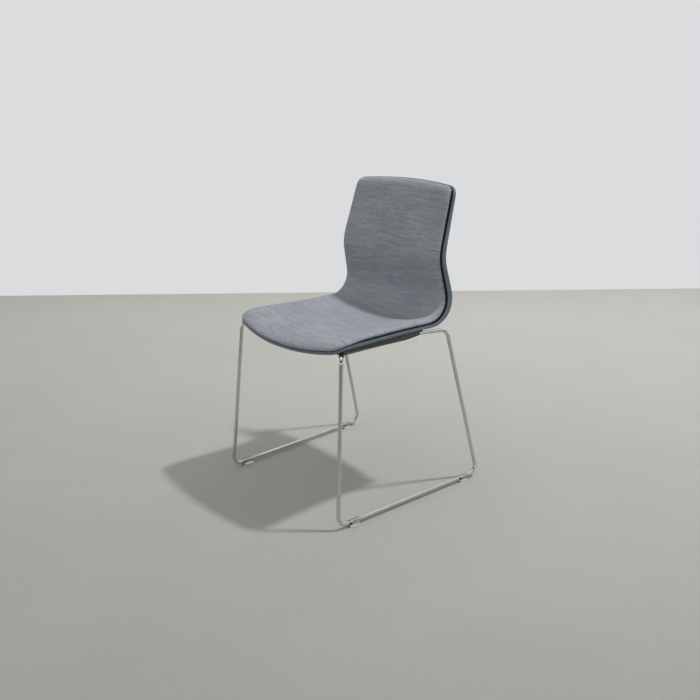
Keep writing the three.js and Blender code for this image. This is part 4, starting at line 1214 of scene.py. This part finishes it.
world = bpy.data.worlds.new("studio")
bpy.context.scene.world = world
world.use_nodes = True
sky = NodeTree(world.node_tree)
sky.tree.nodes.clear()
direction = sky.add("ShaderNodeTexCoord", None, (), "Generated")
# the room is a little brighter in front of the chair and low down than behind it and overhead
fromBehind = sky.add("ShaderNodeVectorMath", {"operation": "DOT_PRODUCT"}, [direction, (0.55, 0.65, 0.3)], "Value")
ambientTone = sky.mixColours(sky.remap(fromBehind, -1.0, 1.0), roomLook["brightSide"],
                             roomLook["dimSide"])
ambient = sky.add("ShaderNodeBackground", None, {"Color": ambientTone, "Strength": roomLook["worldLight"]})
# mirrors see the pale room low down, a darker ceiling and the pale panel in the middle of it
height = sky.add("ShaderNodeSeparateXYZ", None, [direction]).output("Z")
ceiling = sky.add("ShaderNodeValToRGB", {
    "stops": [(place, tone(code)) for place, code in roomLook["ceilingStops"]]}, [height])
mirrored = sky.mixColours(ceiling, roomLook["ceilingTone"], roomLook["panelTone"])
shownTone = sky.mixColours(sky.add("ShaderNodeLightPath", None, (), "Is Glossy Ray"), roomLook["worldTone"],
                           mirrored)
shown = sky.add("ShaderNodeBackground", None, {"Color": shownTone, "Strength": 1.0})
both = sky.add("ShaderNodeMixShader", None, [seenDirectly(sky), ambient, shown])
sky.plug(both, sky.tree.nodes.new("ShaderNodeOutputWorld").inputs["Surface"])

lampTurn = math.radians(roomLook["lampAzimuth"])
lampReach = roomLook["lampHeight"] / math.tan(math.radians(roomLook["lampElevation"]))
lampPlace = Vector((math.sin(lampTurn) * lampReach, -math.cos(lampTurn) * lampReach, roomLook["lampHeight"]))
lamp = bpy.data.lights.new("key", "AREA")
lamp.shape, lamp.size, lamp.energy = "DISK", roomLook["lampSize"], roomLook["lampPower"]
key = newObject("key", lamp)
key.location = lampPlace
key.rotation_mode = "QUATERNION"
key.rotation_quaternion = (Vector(roomLook["lampAim"]) - lampPlace).to_track_quat("-Z", "Y")
key.visible_glossy = False

cameraData = bpy.data.cameras.new("camera")
cameraData.lens, cameraData.sensor_width = cameraLook["lens"], cameraLook["sensor"]
cameraData.clip_start, cameraData.clip_end = cameraLook["clip"]
camera = newObject("camera", cameraData)
back = -away * math.cos(elevation) + Vector((0, 0, math.sin(elevation)))
up = back.cross(right)
rolledRight = right * math.cos(roll) + up * math.sin(roll)
rolledUp = up * math.cos(roll) - right * math.sin(roll)
turned = Matrix((rolledRight, rolledUp, back)).transposed().to_4x4()
camera.matrix_world = Matrix.Translation(cameraLook["place"]) @ turned
bpy.context.scene.camera = camera
bpy.context.scene.view_settings.view_transform = "Standard"
print("room, light and camera set")
